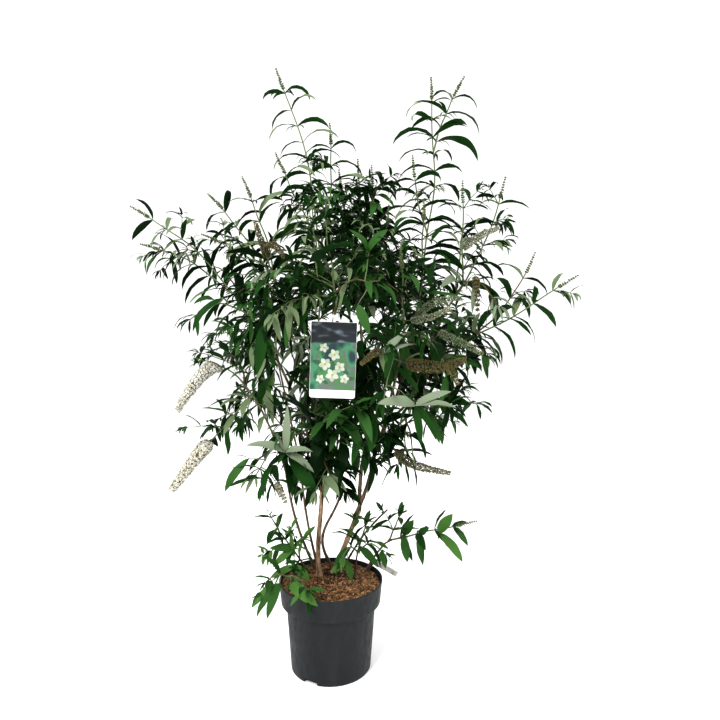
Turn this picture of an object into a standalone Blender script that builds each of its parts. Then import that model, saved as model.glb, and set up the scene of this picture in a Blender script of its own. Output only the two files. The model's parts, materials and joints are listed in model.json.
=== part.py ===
"""Butterfly bush in a round nursery pot: pot, soil, stems, boughs, masses of foliage and two labels.

Metres, +Z up. The origin is the centre of the pot's flat underside, and -Y is the front.
"""
import math
import random
from typing import NamedTuple

import bmesh
import bpy
from mathutils import Matrix, Vector
from mathutils.bvhtree import BVHTree
from mathutils.kdtree import KDTree

UP = Vector((0, 0, 1))

# Pot
POT_HEIGHT = 0.273
RIM_RADIUS = 0.159
COLLAR_FOOT = 0.205
COLLAR_FOOT_RADIUS = 0.1525
BODY_TOP_RADIUS = 0.1375
BASE_RADIUS = 0.1225
POT_WALL = 0.004
LEDGE = COLLAR_FOOT + POT_WALL
FLOOR_THICKNESS = 0.016
POT_SIDES = 24
NOTCH_ANGLES = (-27, 93, -147)
NOTCH_WIDTH = 0.054
NOTCH_HEIGHT = 0.012
NOTCH_DEPTH = 0.014
NOTCH_TAPER = 0.74
EDGE_ROUND = 0.003

# Soil, which fills the pot to just under its rim
SOIL_TOP = 0.260
SOIL_SIDES = 24

# Gap between neighbouring solids
GAP = 0.0003

# Limbs: straight stretches in a limb's curve, and how much a stem widens at the soil
LIMB_STEPS = 5
FLARE = 1.25

# Leaves, which are larger than life here because the solids have few of them
LEAF_WIDTH = 0.30
LEAF_THICKNESS = 0.016
LEAF_FOLD = 0.10
LEAF_DROOP = 0.34
LEAF_RISE = 0.42
LEAF_WIDEST = 0.45
LEAF_ROLL = 0.9
LEAF_SCALE = 1.18
LEAF_TILT = 0.25
LEAF_SIZES = (0.88, 1.08)
TIP_LEAF = 0.62
TERMINAL_LEAF = 0.5

# Twigs
TWIG_SIDES = 3
SHOOT_STEPS = 4
TWIG_LEANS = (0.5, 0.9)
TWIG_LENGTHS = (0.75, 1.1)
TWIG_BOW = 0.08
NECK = 0.012
SHOOT_RADIUS = 0.0030
TWIG_RADIUS = 0.0017
TWIG_TIP_RADIUS = 0.0008
SHOOT_TIP_RADIUS = 0.0011
INTERNODE = 0.086
TWIG_INTERNODE = 0.072
TWIG_REACH = 0.20
TWIG_REACH_LOSS = 0.6
SHOOT_THINNING = 0.7
FORK_RADII = (0.9, 0.54)
FIRST_NODE = 0.75
END_SPARE = 0.6
STEP_AHEAD = 0.03
GOLDEN_ANGLE = math.radians(137.5)

# Flower spikes: length and radius of each kind
SPIKES = {
    "bud": (0.055, 0.0055),
    "white": (0.170, 0.021),
    "brown": (0.160, 0.019),
    "spent": (0.140, 0.0125),
    "green": (0.140, 0.0110),
}

# Outline of a bud and of an open spike: fractions of the length and of the radius
BUD_SHAPE = ((0, 0.45), (0.3, 1), (1, 0.15))
FLOWER_SHAPE = ((0, 0.45), (0.22, 1), (0.62, 0.72), (1, 0.15))
FLOWER_SIDES = 6

# How much nearer to its own shoots than to those of another mass a leaf has to be
SPACE_MARGIN = 0.002
SPACE_SAMPLES = 24

# A leaf's swollen copy that has to clear the limbs, and its outer part that has to clear other leaves
CLEARANCE_SCALE = 1.06
OUTER_LEAF = 0.8


class Limb(NamedTuple):
    """A tapering limb, from the soil or a place along its parent to its tip."""
    parent: str
    at: float
    tip: tuple
    radii: tuple
    bow: tuple = (0, 0, 0)
    sway: tuple = (0, 0, 0)
    base: tuple = ()
    sides: int = 6


class Shoot(NamedTuple):
    """A leading shoot of a mass: where it starts along the first one, its tip, bow and spike."""
    at: float
    tip: tuple
    bow: tuple = (0, 0, 0)
    spike: str = ""


class Mass(NamedTuple):
    """A mass of foliage: the limb that carries it, its leaf length and its leading shoots."""
    limb: str
    leaf: float
    shoots: tuple
    branching: int = 2


# Stems stand on the soil, and each bough starts beside or at the end of its parent
LIMBS = {
    "stem_left": Limb("soil", 0, (-0.032, 0.020, 0.620), (0.0078, 0.0062), sway=(-0.004, 0, 0),
                      base=(-0.039, 0.045), sides=8),
    "stem_right": Limb("soil", 0, (0.088, 0.030, 0.478), (0.0085, 0.007), base=(0.006, 0.065), sides=8),
    "stem_outer": Limb("soil", 0, (-0.138, 0.010, 0.600), (0.0045, 0.0034), bow=(-0.014, 0, 0),
                       base=(-0.055, 0.090)),
    "stem_inner": Limb("soil", 0, (-0.105, 0.120, 0.600), (0.0042, 0.0032), bow=(-0.008, 0, 0),
                       base=(-0.050, 0.115)),
    "stem_bent": Limb("soil", 0, (0.010, 0.120, 0.585), (0.0048, 0.0034), bow=(-0.012, 0, 0),
                      sway=(-0.026, 0, 0), base=(-0.002, 0.115)),
    "stem_low_right": Limb("soil", 0, (0.170, 0.045, 0.365), (0.0038, 0.0028), bow=(-0.006, 0, 0),
                           base=(0.108, 0.070)),
    "stem_low_left": Limb("soil", 0, (-0.118, 0.035, 0.345), (0.003, 0.0024), base=(-0.072, 0.060)),
    "stem_low_middle": Limb("soil", 0, (0.080, 0.010, 0.335), (0.0034, 0.0026), base=(0.072, 0.030)),
    "stem_low_front": Limb("soil", 0, (-0.115, -0.062, 0.294), (0.0028, 0.0022), base=(-0.092, -0.035)),
    "cut_stem": Limb("soil", 0, (0.176, 0.040, 0.474), (0.0034, 0.0026), bow=(-0.006, 0, 0.012),
                     base=(0.035, 0.100)),
    "cut_stub": Limb("soil", 0, (0.168, 0.088, 0.296), (0.0034, 0.0024), bow=(-0.002, 0, 0.012),
                     base=(0.116, 0.084)),
    "fork_left": Limb("stem_right", 1, (0.108, 0.050, 0.680), (0.0066, 0.0056), bow=(-0.006, 0, 0)),
    "fork_right": Limb("stem_right", 0.88, (0.138, -0.025, 0.680), (0.0058, 0.0052),
                       bow=(0.006, -0.008, -0.004)),
    "bough_spire_left": Limb("stem_left", 1, (-0.036, 0.000, 1.020), (0.006, 0.0044), bow=(0.010, 0, 0)),
    "bough_far_left": Limb("stem_left", 0.92, (-0.200, 0.030, 1.020), (0.0048, 0.0036),
                           bow=(0.020, 0, -0.010)),
    "bough_upper_left": Limb("bough_spire_left", 0.3, (-0.135, -0.040, 1.080), (0.0044, 0.0034),
                             bow=(0.012, 0, -0.006)),
    "bough_low_left": Limb("stem_outer", 1, (-0.195, -0.070, 0.800), (0.0033, 0.0028), bow=(0.006, 0, 0)),
    "bough_back_left": Limb("stem_inner", 1, (-0.180, 0.210, 0.890), (0.0031, 0.0027)),
    "bough_top": Limb("fork_left", 1, (0.093, 0.055, 1.030), (0.0054, 0.0042), bow=(0.008, 0, 0)),
    "bough_back_top": Limb("bough_top", 0.35, (0.060, 0.185, 1.050), (0.0042, 0.0032),
                           bow=(0, -0.012, -0.010)),
    "bough_back_right": Limb("fork_left", 0.85, (0.190, 0.210, 0.920), (0.0044, 0.0034),
                             bow=(0, -0.010, -0.015)),
    "bough_spire_right": Limb("fork_right", 1, (0.245, 0.005, 1.020), (0.005, 0.0041),
                              bow=(0.010, 0, -0.010)),
    "bough_right": Limb("bough_spire_right", 0.28, (0.320, -0.055, 0.960), (0.0042, 0.0032),
                        bow=(0.006, 0, -0.014)),
    "bough_upper_right": Limb("bough_spire_right", 0.66, (0.350, 0.030, 1.090), (0.004, 0.0032),
                              bow=(0.006, 0, -0.010)),
    "bough_low_right": Limb("fork_right", 0.8, (0.200, -0.120, 0.770), (0.004, 0.003), bow=(0, 0, -0.010)),
    "bough_front_right": Limb("bough_spire_right", 0.12, (0.205, -0.215, 1.000), (0.0042, 0.0032),
                              bow=(0, 0, -0.004)),
    "bough_front": Limb("bough_spire_left", 0.2, (0.030, -0.285, 1.104), (0.0044, 0.0032),
                        bow=(0, 0.020, 0.060)),
    "bough_front_low": Limb("stem_left", 0.8, (-0.070, -0.150, 0.740), (0.004, 0.003), bow=(0, 0, -0.008)),
    "bough_back_low": Limb("stem_bent", 1, (0.020, 0.240, 0.760), (0.0033, 0.0028), bow=(0, -0.008, 0)),
}

MASSES = {
    "foliage_spire_left": Mass("bough_spire_left", 0.120, (
        Shoot(0, (-0.158, 0.000, 1.808), (0.054, 0, 0), "bud"),
        Shoot(0.32, (-0.001, 0.020, 1.657), (0.018, 0, 0), "bud"),
        Shoot(0.34, (-0.157, -0.030, 1.556), (-0.014, 0, 0.02), "bud"),
        Shoot(0.12, (-0.040, -0.150, 1.400), (0, -0.02, 0), ""),
        Shoot(0.02, (-0.060, -0.090, 0.880), (0, -0.03, 0.03), ""),
    )),
    "foliage_upper_left": Mass("bough_upper_left", 0.135, (
        Shoot(0, (-0.252, -0.050, 1.483), (0.010, 0, 0.02), "bud"),
        Shoot(0.18, (-0.364, 0.000, 1.444), (-0.010, 0, 0.03), "bud"),
        Shoot(0.10, (-0.372, -0.050, 1.317), (0, 0, 0.03), "bud"),
        Shoot(0.20, (-0.195, -0.160, 1.335), (0, -0.02, 0), "spent"),
        Shoot(0.02, (-0.150, -0.130, 0.930), (0, -0.02, 0.03), ""),
    )),
    "foliage_far_left": Mass("bough_far_left", 0.125, (
        Shoot(0, (-0.597, 0.000, 1.408), (0, 0, 0.050), "bud"),
        Shoot(0.20, (-0.591, 0.060, 1.304), (0, 0, 0.030), "bud"),
        Shoot(0.06, (-0.410, -0.040, 1.070), (0, 0, 0.050), ""),
        Shoot(0.14, (-0.400, 0.190, 1.250), (0, 0, 0.030), ""),
    )),
    "foliage_low_left": Mass("bough_low_left", 0.145, (
        Shoot(0, (-0.436, -0.100, 0.807), (0, 0, 0.125), "white"),
        Shoot(0.10, (-0.451, -0.120, 0.580), (0, 0, 0.010), "white"),
        Shoot(0.20, (-0.300, -0.100, 0.990), (0.02, 0, 0), ""),
        Shoot(0.12, (-0.340, 0.060, 0.740), (0, 0, 0.060), ""),
    )),
    "foliage_top": Mass("bough_top", 0.135, (
        Shoot(0, (0.083, 0.100, 1.574), (0.010, 0, 0), "bud"),
        Shoot(0.36, (0.025, 0.050, 1.529), (-0.012, 0, 0), "bud"),
        Shoot(0.30, (0.124, 0.020, 1.535), (0.016, 0, 0), "bud"),
        Shoot(0.10, (0.169, -0.130, 1.386), (0.02, 0, 0), "bud"),
        Shoot(0.02, (0.100, -0.060, 0.880), (0, -0.03, 0.03), ""),
    )),
    "foliage_spire_right": Mass("bough_spire_right", 0.120, (
        Shoot(0, (0.299, 0.000, 1.783), (0.030, 0, 0), "bud"),
        Shoot(0.71, (0.398, 0.000, 1.785), (-0.010, 0, 0), "bud"),
        Shoot(0.38, (0.246, 0.000, 1.557), (-0.010, 0, 0), "bud"),
        Shoot(0.20, (0.265, -0.150, 1.400), (0, 0, 0), "bud"),
        Shoot(0.02, (0.250, -0.100, 0.880), (0, -0.02, 0.03), ""),
    )),
    "foliage_upper_right": Mass("bough_upper_right", 0.135, (
        Shoot(0, (0.516, -0.030, 1.488), (0.018, 0, -0.02), "bud"),
        Shoot(0.22, (0.390, -0.030, 1.476), (0, 0, 0), "bud"),
        Shoot(0.12, (0.430, 0.190, 1.360), (0, 0, 0.02), ""),
        Shoot(0.06, (0.470, -0.130, 1.110), (0, 0, 0.070), "spent"),
    )),
    "foliage_right": Mass("bough_right", 0.135, (
        Shoot(0, (0.709, -0.100, 1.195), (0, 0, -0.010), "bud"),
        Shoot(0.18, (0.592, -0.080, 1.262), (0.02, 0, -0.02), "bud"),
        Shoot(0.08, (0.460, -0.070, 0.970), (0, 0, 0.020), ""),
        Shoot(0.10, (0.460, 0.140, 1.080), (0, 0, 0.030), ""),
    )),
    "foliage_low_right": Mass("bough_low_right", 0.135, (
        Shoot(0, (0.420, -0.120, 0.830), (0, 0, 0.030), ""),
        Shoot(0.12, (0.374, -0.150, 0.958), (-0.03, 0, 0.050), "brown"),
        Shoot(0.08, (0.349, -0.120, 0.631), (-0.050, 0, -0.035), "spent"),
        Shoot(0.06, (0.230, -0.280, 0.700), (0, 0, 0.020), ""),
    )),
    "foliage_front_right": Mass("bough_front_right", 0.135, (
        Shoot(0, (0.190, -0.330, 1.250), (0, 0, 0.010), "bud"),
        Shoot(0.10, (0.350, -0.260, 1.120), (0, 0, 0.030), "green"),
        Shoot(0.05, (0.315, -0.330, 0.930), (0, 0, 0.040), ""),
        Shoot(0.04, (0.150, -0.320, 0.870), (0, 0, 0.040), ""),
    )),
    "foliage_front": Mass("bough_front", 0.135, (
        Shoot(0, (0.000, -0.330, 1.340), (0, 0, 0), ""),
        Shoot(0.10, (0.120, -0.370, 1.150), (0, 0, 0.020), ""),
        Shoot(0.15, (-0.140, -0.350, 1.180), (0, 0, 0.020), ""),
        Shoot(0.05, (-0.185, -0.290, 1.000), (0, 0, 0.050), ""),
    )),
    "foliage_front_low": Mass("bough_front_low", 0.150, (
        Shoot(0, (-0.110, -0.270, 0.770), (0, 0, 0.020), ""),
        Shoot(0.06, (-0.190, -0.210, 0.650), (0, 0, 0.030), ""),
        Shoot(0.06, (0.010, -0.250, 0.660), (0, 0, 0.030), ""),
        Shoot(0.10, (0.100, -0.230, 0.830), (0, 0, 0), ""),
    )),
    "foliage_back_left": Mass("bough_back_left", 0.145, (
        Shoot(0, (-0.270, 0.340, 1.290), (0, 0, 0.020), "bud"),
        Shoot(0.16, (-0.420, 0.280, 1.020), (0, 0, 0.030), ""),
        Shoot(0.12, (-0.140, 0.420, 1.040), (0, 0, 0.030), ""),
        Shoot(0.04, (-0.310, 0.220, 0.720), (0, 0, 0.060), ""),
    )),
    "foliage_back_top": Mass("bough_back_top", 0.140, (
        Shoot(0, (0.030, 0.270, 1.530), (0, 0, 0), "bud"),
        Shoot(0.12, (-0.130, 0.250, 1.420), (0, 0, 0.010), "bud"),
        Shoot(0.12, (0.200, 0.290, 1.420), (0, 0, 0.010), "bud"),
        Shoot(0.06, (0.050, 0.430, 1.270), (0, 0, 0.030), ""),
    )),
    "foliage_back_right": Mass("bough_back_right", 0.145, (
        Shoot(0, (0.320, 0.340, 1.290), (0, 0, 0.020), "bud"),
        Shoot(0.16, (0.460, 0.270, 1.030), (0, 0, 0.030), ""),
        Shoot(0.12, (0.170, 0.440, 1.020), (0, 0, 0.030), ""),
        Shoot(0.04, (0.340, 0.210, 0.730), (0, 0, 0.060), ""),
    )),
    "foliage_back_low": Mass("bough_back_low", 0.150, (
        Shoot(0, (0.020, 0.400, 0.840), (0, 0, 0.020), ""),
        Shoot(0.08, (-0.150, 0.310, 0.670), (0, 0, 0.030), ""),
        Shoot(0.08, (0.190, 0.320, 0.660), (0, 0, 0.030), ""),
        Shoot(0.06, (0.050, 0.180, 0.930), (0, 0.02, 0), ""),
    )),
    "leaves_low_right": Mass("stem_low_right", 0.095, (
        Shoot(0, (0.449, -0.010, 0.455), (0, 0, 0), "bud"),
        Shoot(0.02, (0.215, 0.010, 0.470), (0, 0, 0), ""),
    ), 9),
    "leaves_low_middle": Mass("stem_low_middle", 0.095, (
        Shoot(0, (0.110, -0.010, 0.450), (0, 0, 0), ""),
        Shoot(0.05, (0.165, -0.050, 0.365), (0, 0, 0.03), ""),
        Shoot(0.05, (0.030, -0.060, 0.345), (0, 0, 0.03), ""),
    ), 9),
    "leaves_low_left": Mass("stem_low_left", 0.085, (
        Shoot(0, (-0.186, 0.000, 0.470), (-0.005, 0, 0), ""),
        Shoot(0.04, (-0.190, -0.010, 0.350), (0, 0, 0.02), ""),
        Shoot(0.04, (-0.080, -0.020, 0.400), (0, 0, 0), ""),
    ), 9),
    "leaves_low_front": Mass("stem_low_front", 0.085, (
        Shoot(0, (-0.185, -0.100, 0.300), (0, 0, 0.02), ""),
        Shoot(0.08, (-0.060, -0.150, 0.300), (0, 0, 0.02), ""),
    ), 9),
}

# Labels: a card on a band that goes round a limb
CARD_THICKNESS = 0.0012
STRAP_WIDTH = 0.006
BAND_WIDTH = 0.005
BAND_THICKNESS = 0.0010
BAND_GAP = 0.0006
BAND_SIDES = 12


class Label(NamedTuple):
    """A label: the limb it hangs on, its card's width and length, its strap and its tilt."""
    limb: str
    at: float
    size: tuple
    strap: float
    corner: float
    tilt: float
    behind: bool


LABELS = {
    "tag": Label("bough_front", 0.90, (0.119, 0.198), 0.016, 0.006, -2.0, False),
    "slip": Label("cut_stub", 0.42, (0.017, 0.078), 0.010, 0.001, 60, True),
}


def clear_scene():
    for obj in list(bpy.data.objects):
        bpy.data.objects.remove(obj)


def material(name, colour, roughness):
    mat = bpy.data.materials.new(name)
    mat.use_nodes = True
    shader = mat.node_tree.nodes["Principled BSDF"]
    shader.inputs["Base Color"].default_value = (*colour, 1)
    shader.inputs["Roughness"].default_value = roughness
    shader.inputs["Metallic"].default_value = 0
    return mat


def make_object(name, solid, mat=None):
    """A mesh object from a pair of vertices and faces."""
    verts, faces = solid
    mesh = bpy.data.meshes.new(name)
    mesh.from_pydata([tuple(v) for v in verts], [], faces)
    mesh.validate()
    obj = bpy.data.objects.new(name, mesh)
    bpy.context.scene.collection.objects.link(obj)
    if mat:
        mesh.materials.append(mat)
    return obj


def apply_modifiers(obj):
    """Keep the evaluated mesh and drop the modifiers."""
    evaluated = obj.evaluated_get(bpy.context.evaluated_depsgraph_get())
    mesh = bpy.data.meshes.new_from_object(evaluated)
    obj.modifiers.clear()
    obj.data = mesh


def boolean(obj, operand, operation, solver="EXACT"):
    """Join or cut one object with another object or a collection of objects, and apply it."""
    step = obj.modifiers.new("boolean", "BOOLEAN")
    step.operation = operation
    step.solver = solver
    if isinstance(operand, bpy.types.Collection):
        step.operand_type = "COLLECTION"
        step.collection = operand
    else:
        step.object = operand
    apply_modifiers(obj)


def turned(profile, sides):
    """A solid of revolution: the profile runs up the outside and ends on the axis at both ends."""
    verts = []
    faces = []
    for radius, height in profile:
        if radius == 0:
            verts.append(Vector((0, 0, height)))
            continue
        for i in range(sides):
            angle = 2 * math.pi * i / sides
            verts.append(Vector((radius * math.cos(angle), radius * math.sin(angle), height)))
    first = 1
    for i in range(sides):
        faces.append((0, first + (i + 1) % sides, first + i))
    for ring in range(len(profile) - 3):
        low = first + ring * sides
        high = low + sides
        for i in range(sides):
            j = (i + 1) % sides
            faces.append((low + i, low + j, high + j, high + i))
    last = len(verts) - 1
    top = last - sides
    for i in range(sides):
        faces.append((last, top + i, top + (i + 1) % sides))
    return verts, faces


def curve_point(start, tip, bow, sway, t):
    """A point on the straight line from start to tip, moved sideways by its bow and its sway."""
    line = start.lerp(tip, t)
    return line + Vector(bow) * math.sin(math.pi * t) + Vector(sway) * math.sin(2 * math.pi * t)


def curve(start, tip, bow, sway, steps):
    return [curve_point(start, tip, bow, sway, i / steps) for i in range(steps + 1)]


def tube(points, radii, sides, first_normal=None):
    """A closed tapering tube along the points, its ends cut flat."""
    tangents = []
    for i, point in enumerate(points):
        before = points[max(i - 1, 0)]
        after = points[min(i + 1, len(points) - 1)]
        tangents.append((after - before).normalized())
    if first_normal:
        tangents[0] = first_normal.normalized()
    side = tangents[0].orthogonal().normalized()
    verts = []
    for point, tangent, radius in zip(points, tangents, radii):
        side = (side - tangent * side.dot(tangent)).normalized()
        other = tangent.cross(side)
        for i in range(sides):
            angle = 2 * math.pi * i / sides
            verts.append(point + (side * math.cos(angle) + other * math.sin(angle)) * radius)
    faces = [tuple(reversed(range(sides)))]
    for ring in range(len(points) - 1):
        low = ring * sides
        for i in range(sides):
            j = (i + 1) % sides
            faces.append((low + i, low + j, low + sides + j, low + sides + i))
    end = (len(points) - 1) * sides
    faces.append(tuple(range(end, end + sides)))
    return verts, faces


def tapered(base, tip, steps):
    return [base + (tip - base) * i / steps for i in range(steps + 1)]


def pot_solid():
    """The pot: tapered body, wider collar, flat underside and filled floor."""
    inner_top = RIM_RADIUS - POT_WALL
    inner_step = COLLAR_FOOT_RADIUS - POT_WALL
    inner_body = BODY_TOP_RADIUS - POT_WALL
    inner_base = BASE_RADIUS - POT_WALL
    profile = [
        (0, 0),
        (BASE_RADIUS - EDGE_ROUND, 0),
        (BASE_RADIUS, EDGE_ROUND),
        (BODY_TOP_RADIUS, COLLAR_FOOT),
        (COLLAR_FOOT_RADIUS - EDGE_ROUND, COLLAR_FOOT),
        (COLLAR_FOOT_RADIUS, COLLAR_FOOT + EDGE_ROUND),
        (RIM_RADIUS, POT_HEIGHT - EDGE_ROUND),
        (RIM_RADIUS - EDGE_ROUND / 2, POT_HEIGHT),
        (inner_top, POT_HEIGHT),
        (inner_step, LEDGE),
        (inner_body, LEDGE),
        (inner_base, FLOOR_THICKNESS),
        (0, FLOOR_THICKNESS),
    ]
    return turned(profile, POT_SIDES)


def notch_solid(angle):
    """A drain notch's wedge: wider at the bottom, across the pot's lower edge."""
    low = NOTCH_WIDTH / 2
    high = low * NOTCH_TAPER
    corners = ((-low, -NOTCH_DEPTH), (low, -NOTCH_DEPTH), (high, NOTCH_HEIGHT), (-high, NOTCH_HEIGHT))
    verts = []
    for radius in (BASE_RADIUS - NOTCH_DEPTH, BASE_RADIUS + NOTCH_DEPTH):
        for across, height in corners:
            verts.append(Vector((across, -radius, height)))
    turn = Matrix.Rotation(math.radians(angle), 3, "Z")
    faces = [(0, 1, 2, 3), (7, 6, 5, 4), (0, 4, 5, 1), (1, 5, 6, 2), (2, 6, 7, 3), (3, 7, 4, 0)]
    return [turn @ v for v in verts], [tuple(reversed(face)) for face in faces]


def make_pot():
    pot = make_object("pot", pot_solid(), material("pot_plastic", (0.040, 0.047, 0.052), 0.55))
    for angle in NOTCH_ANGLES:
        cutter = make_object("notch", notch_solid(angle))
        boolean(pot, cutter, "DIFFERENCE")
        bpy.data.objects.remove(cutter)
    pot.data.shade_smooth()
    pot.data.set_sharp_from_angle(angle=math.radians(30))
    return pot


def make_soil():
    """The soil fills the pot, 0.3 mm clear of its wall, with a flat top."""
    def inner(height):
        taper = (height - FLOOR_THICKNESS) / (LEDGE - FLOOR_THICKNESS)
        return BASE_RADIUS + (BODY_TOP_RADIUS - BASE_RADIUS) * taper - POT_WALL - 4 * GAP

    low = FLOOR_THICKNESS + GAP
    shoulder = LEDGE + GAP
    collar = COLLAR_FOOT_RADIUS - POT_WALL - 4 * GAP
    slope = (RIM_RADIUS - COLLAR_FOOT_RADIUS) / (POT_HEIGHT - COLLAR_FOOT)
    top = collar + (SOIL_TOP - shoulder) * slope
    profile = [
        (0, low),
        (inner(low), low),
        (inner(shoulder), shoulder),
        (collar, shoulder),
        (top, SOIL_TOP),
        (0, SOIL_TOP),
    ]
    solid = turned(profile, SOIL_SIDES)
    return make_object("soil", solid, material("mulch", (0.27, 0.12, 0.05), 0.95))


def limb_start(limb, others):
    """Where a limb starts, and the normal of its lower end."""
    if limb.parent == "soil":
        return Vector((*limb.base, SOIL_TOP + GAP)), UP
    parent = others[limb.parent]
    here, along, radius = parent_frame(parent, limb.at)
    if limb.at == 1:
        return here + along * GAP, along
    away = Vector(limb.tip) - here
    away = (away - along * away.dot(along)).normalized()
    return here + away * (radius + GAP), away


def parent_frame(parent, at):
    """Point, direction and radius at a fraction of a limb that is already placed."""
    limb, start = parent
    points = curve(start, Vector(limb.tip), limb.bow, limb.sway, LIMB_STEPS)
    step = min(int(at * LIMB_STEPS), LIMB_STEPS - 1)
    point = points[step].lerp(points[step + 1], at * LIMB_STEPS - step)
    radius = limb.radii[0] + (limb.radii[1] - limb.radii[0]) * at
    return point, (points[step + 1] - points[step]).normalized(), radius


def make_limbs():
    """All stems and boughs, each a tapering tube. Returns objects and places."""
    bark = material("bark", (0.30, 0.19, 0.10), 0.85)
    placed = {}
    objects = {}
    for name, limb in LIMBS.items():
        start, normal = limb_start(limb, placed)
        points = curve(start, Vector(limb.tip), limb.bow, limb.sway, LIMB_STEPS)
        radii = tapered(*limb.radii, LIMB_STEPS)
        if limb.parent == "soil":
            radii[0] *= FLARE
        placed[name] = (limb, start)
        objects[name] = make_object(name, tube(points, radii, limb.sides, normal), bark)
        objects[name].data.shade_smooth()
        objects[name].data.set_sharp_from_angle(angle=math.radians(60))
    return objects, placed


def leaf_solid(root, direction, length, roll):
    """A bent and folded leaf of 8 faces, rolled about its length: its tip hangs."""
    side = direction.cross(UP)
    if side.length < 0.05:
        side = direction.orthogonal()
    side = Matrix.Rotation(roll, 3, direction) @ side.normalized()
    normal = side.cross(direction).normalized()
    half = side * length * LEAF_WIDTH / 2
    thick = normal * length * LEAF_THICKNESS / 2
    middle = root + direction * length * LEAF_WIDEST
    fold = normal * length * LEAF_FOLD * LEAF_WIDTH
    tip = root + direction * length - UP * length * LEAF_DROOP
    verts = [root, middle + fold - half, middle + thick, middle + fold + half, middle - thick, tip]
    faces = []
    for i in range(4):
        left = 1 + i
        right = 1 + (i + 1) % 4
        faces.append((0, right, left))
        faces.append((5, left, right))
    return verts, faces


def spike_solid(base, direction, kind):
    """A flower spike: a spindle, widest near its base."""
    length, radius = SPIKES[kind]
    shape = BUD_SHAPE if kind == "bud" else FLOWER_SHAPE
    sides = TWIG_SIDES if kind == "bud" else FLOWER_SIDES
    points = [base + direction * length * along for along, _ in shape]
    radii = [radius * share for _, share in shape]
    return tube(points, radii, sides)


def along_shoot(start, shoot, t):
    return curve_point(start, Vector(shoot.tip), shoot.bow, (0, 0, 0), t)


def spike_start(start, shoot):
    """The fraction of a shoot's curve where its spike begins, a spike's length from the tip."""
    length = SPIKES[shoot.spike][0]
    t = 1
    while t > 0.2 and (Vector(shoot.tip) - along_shoot(start, shoot, t)).length < length:
        t -= 0.01
    return t


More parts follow.
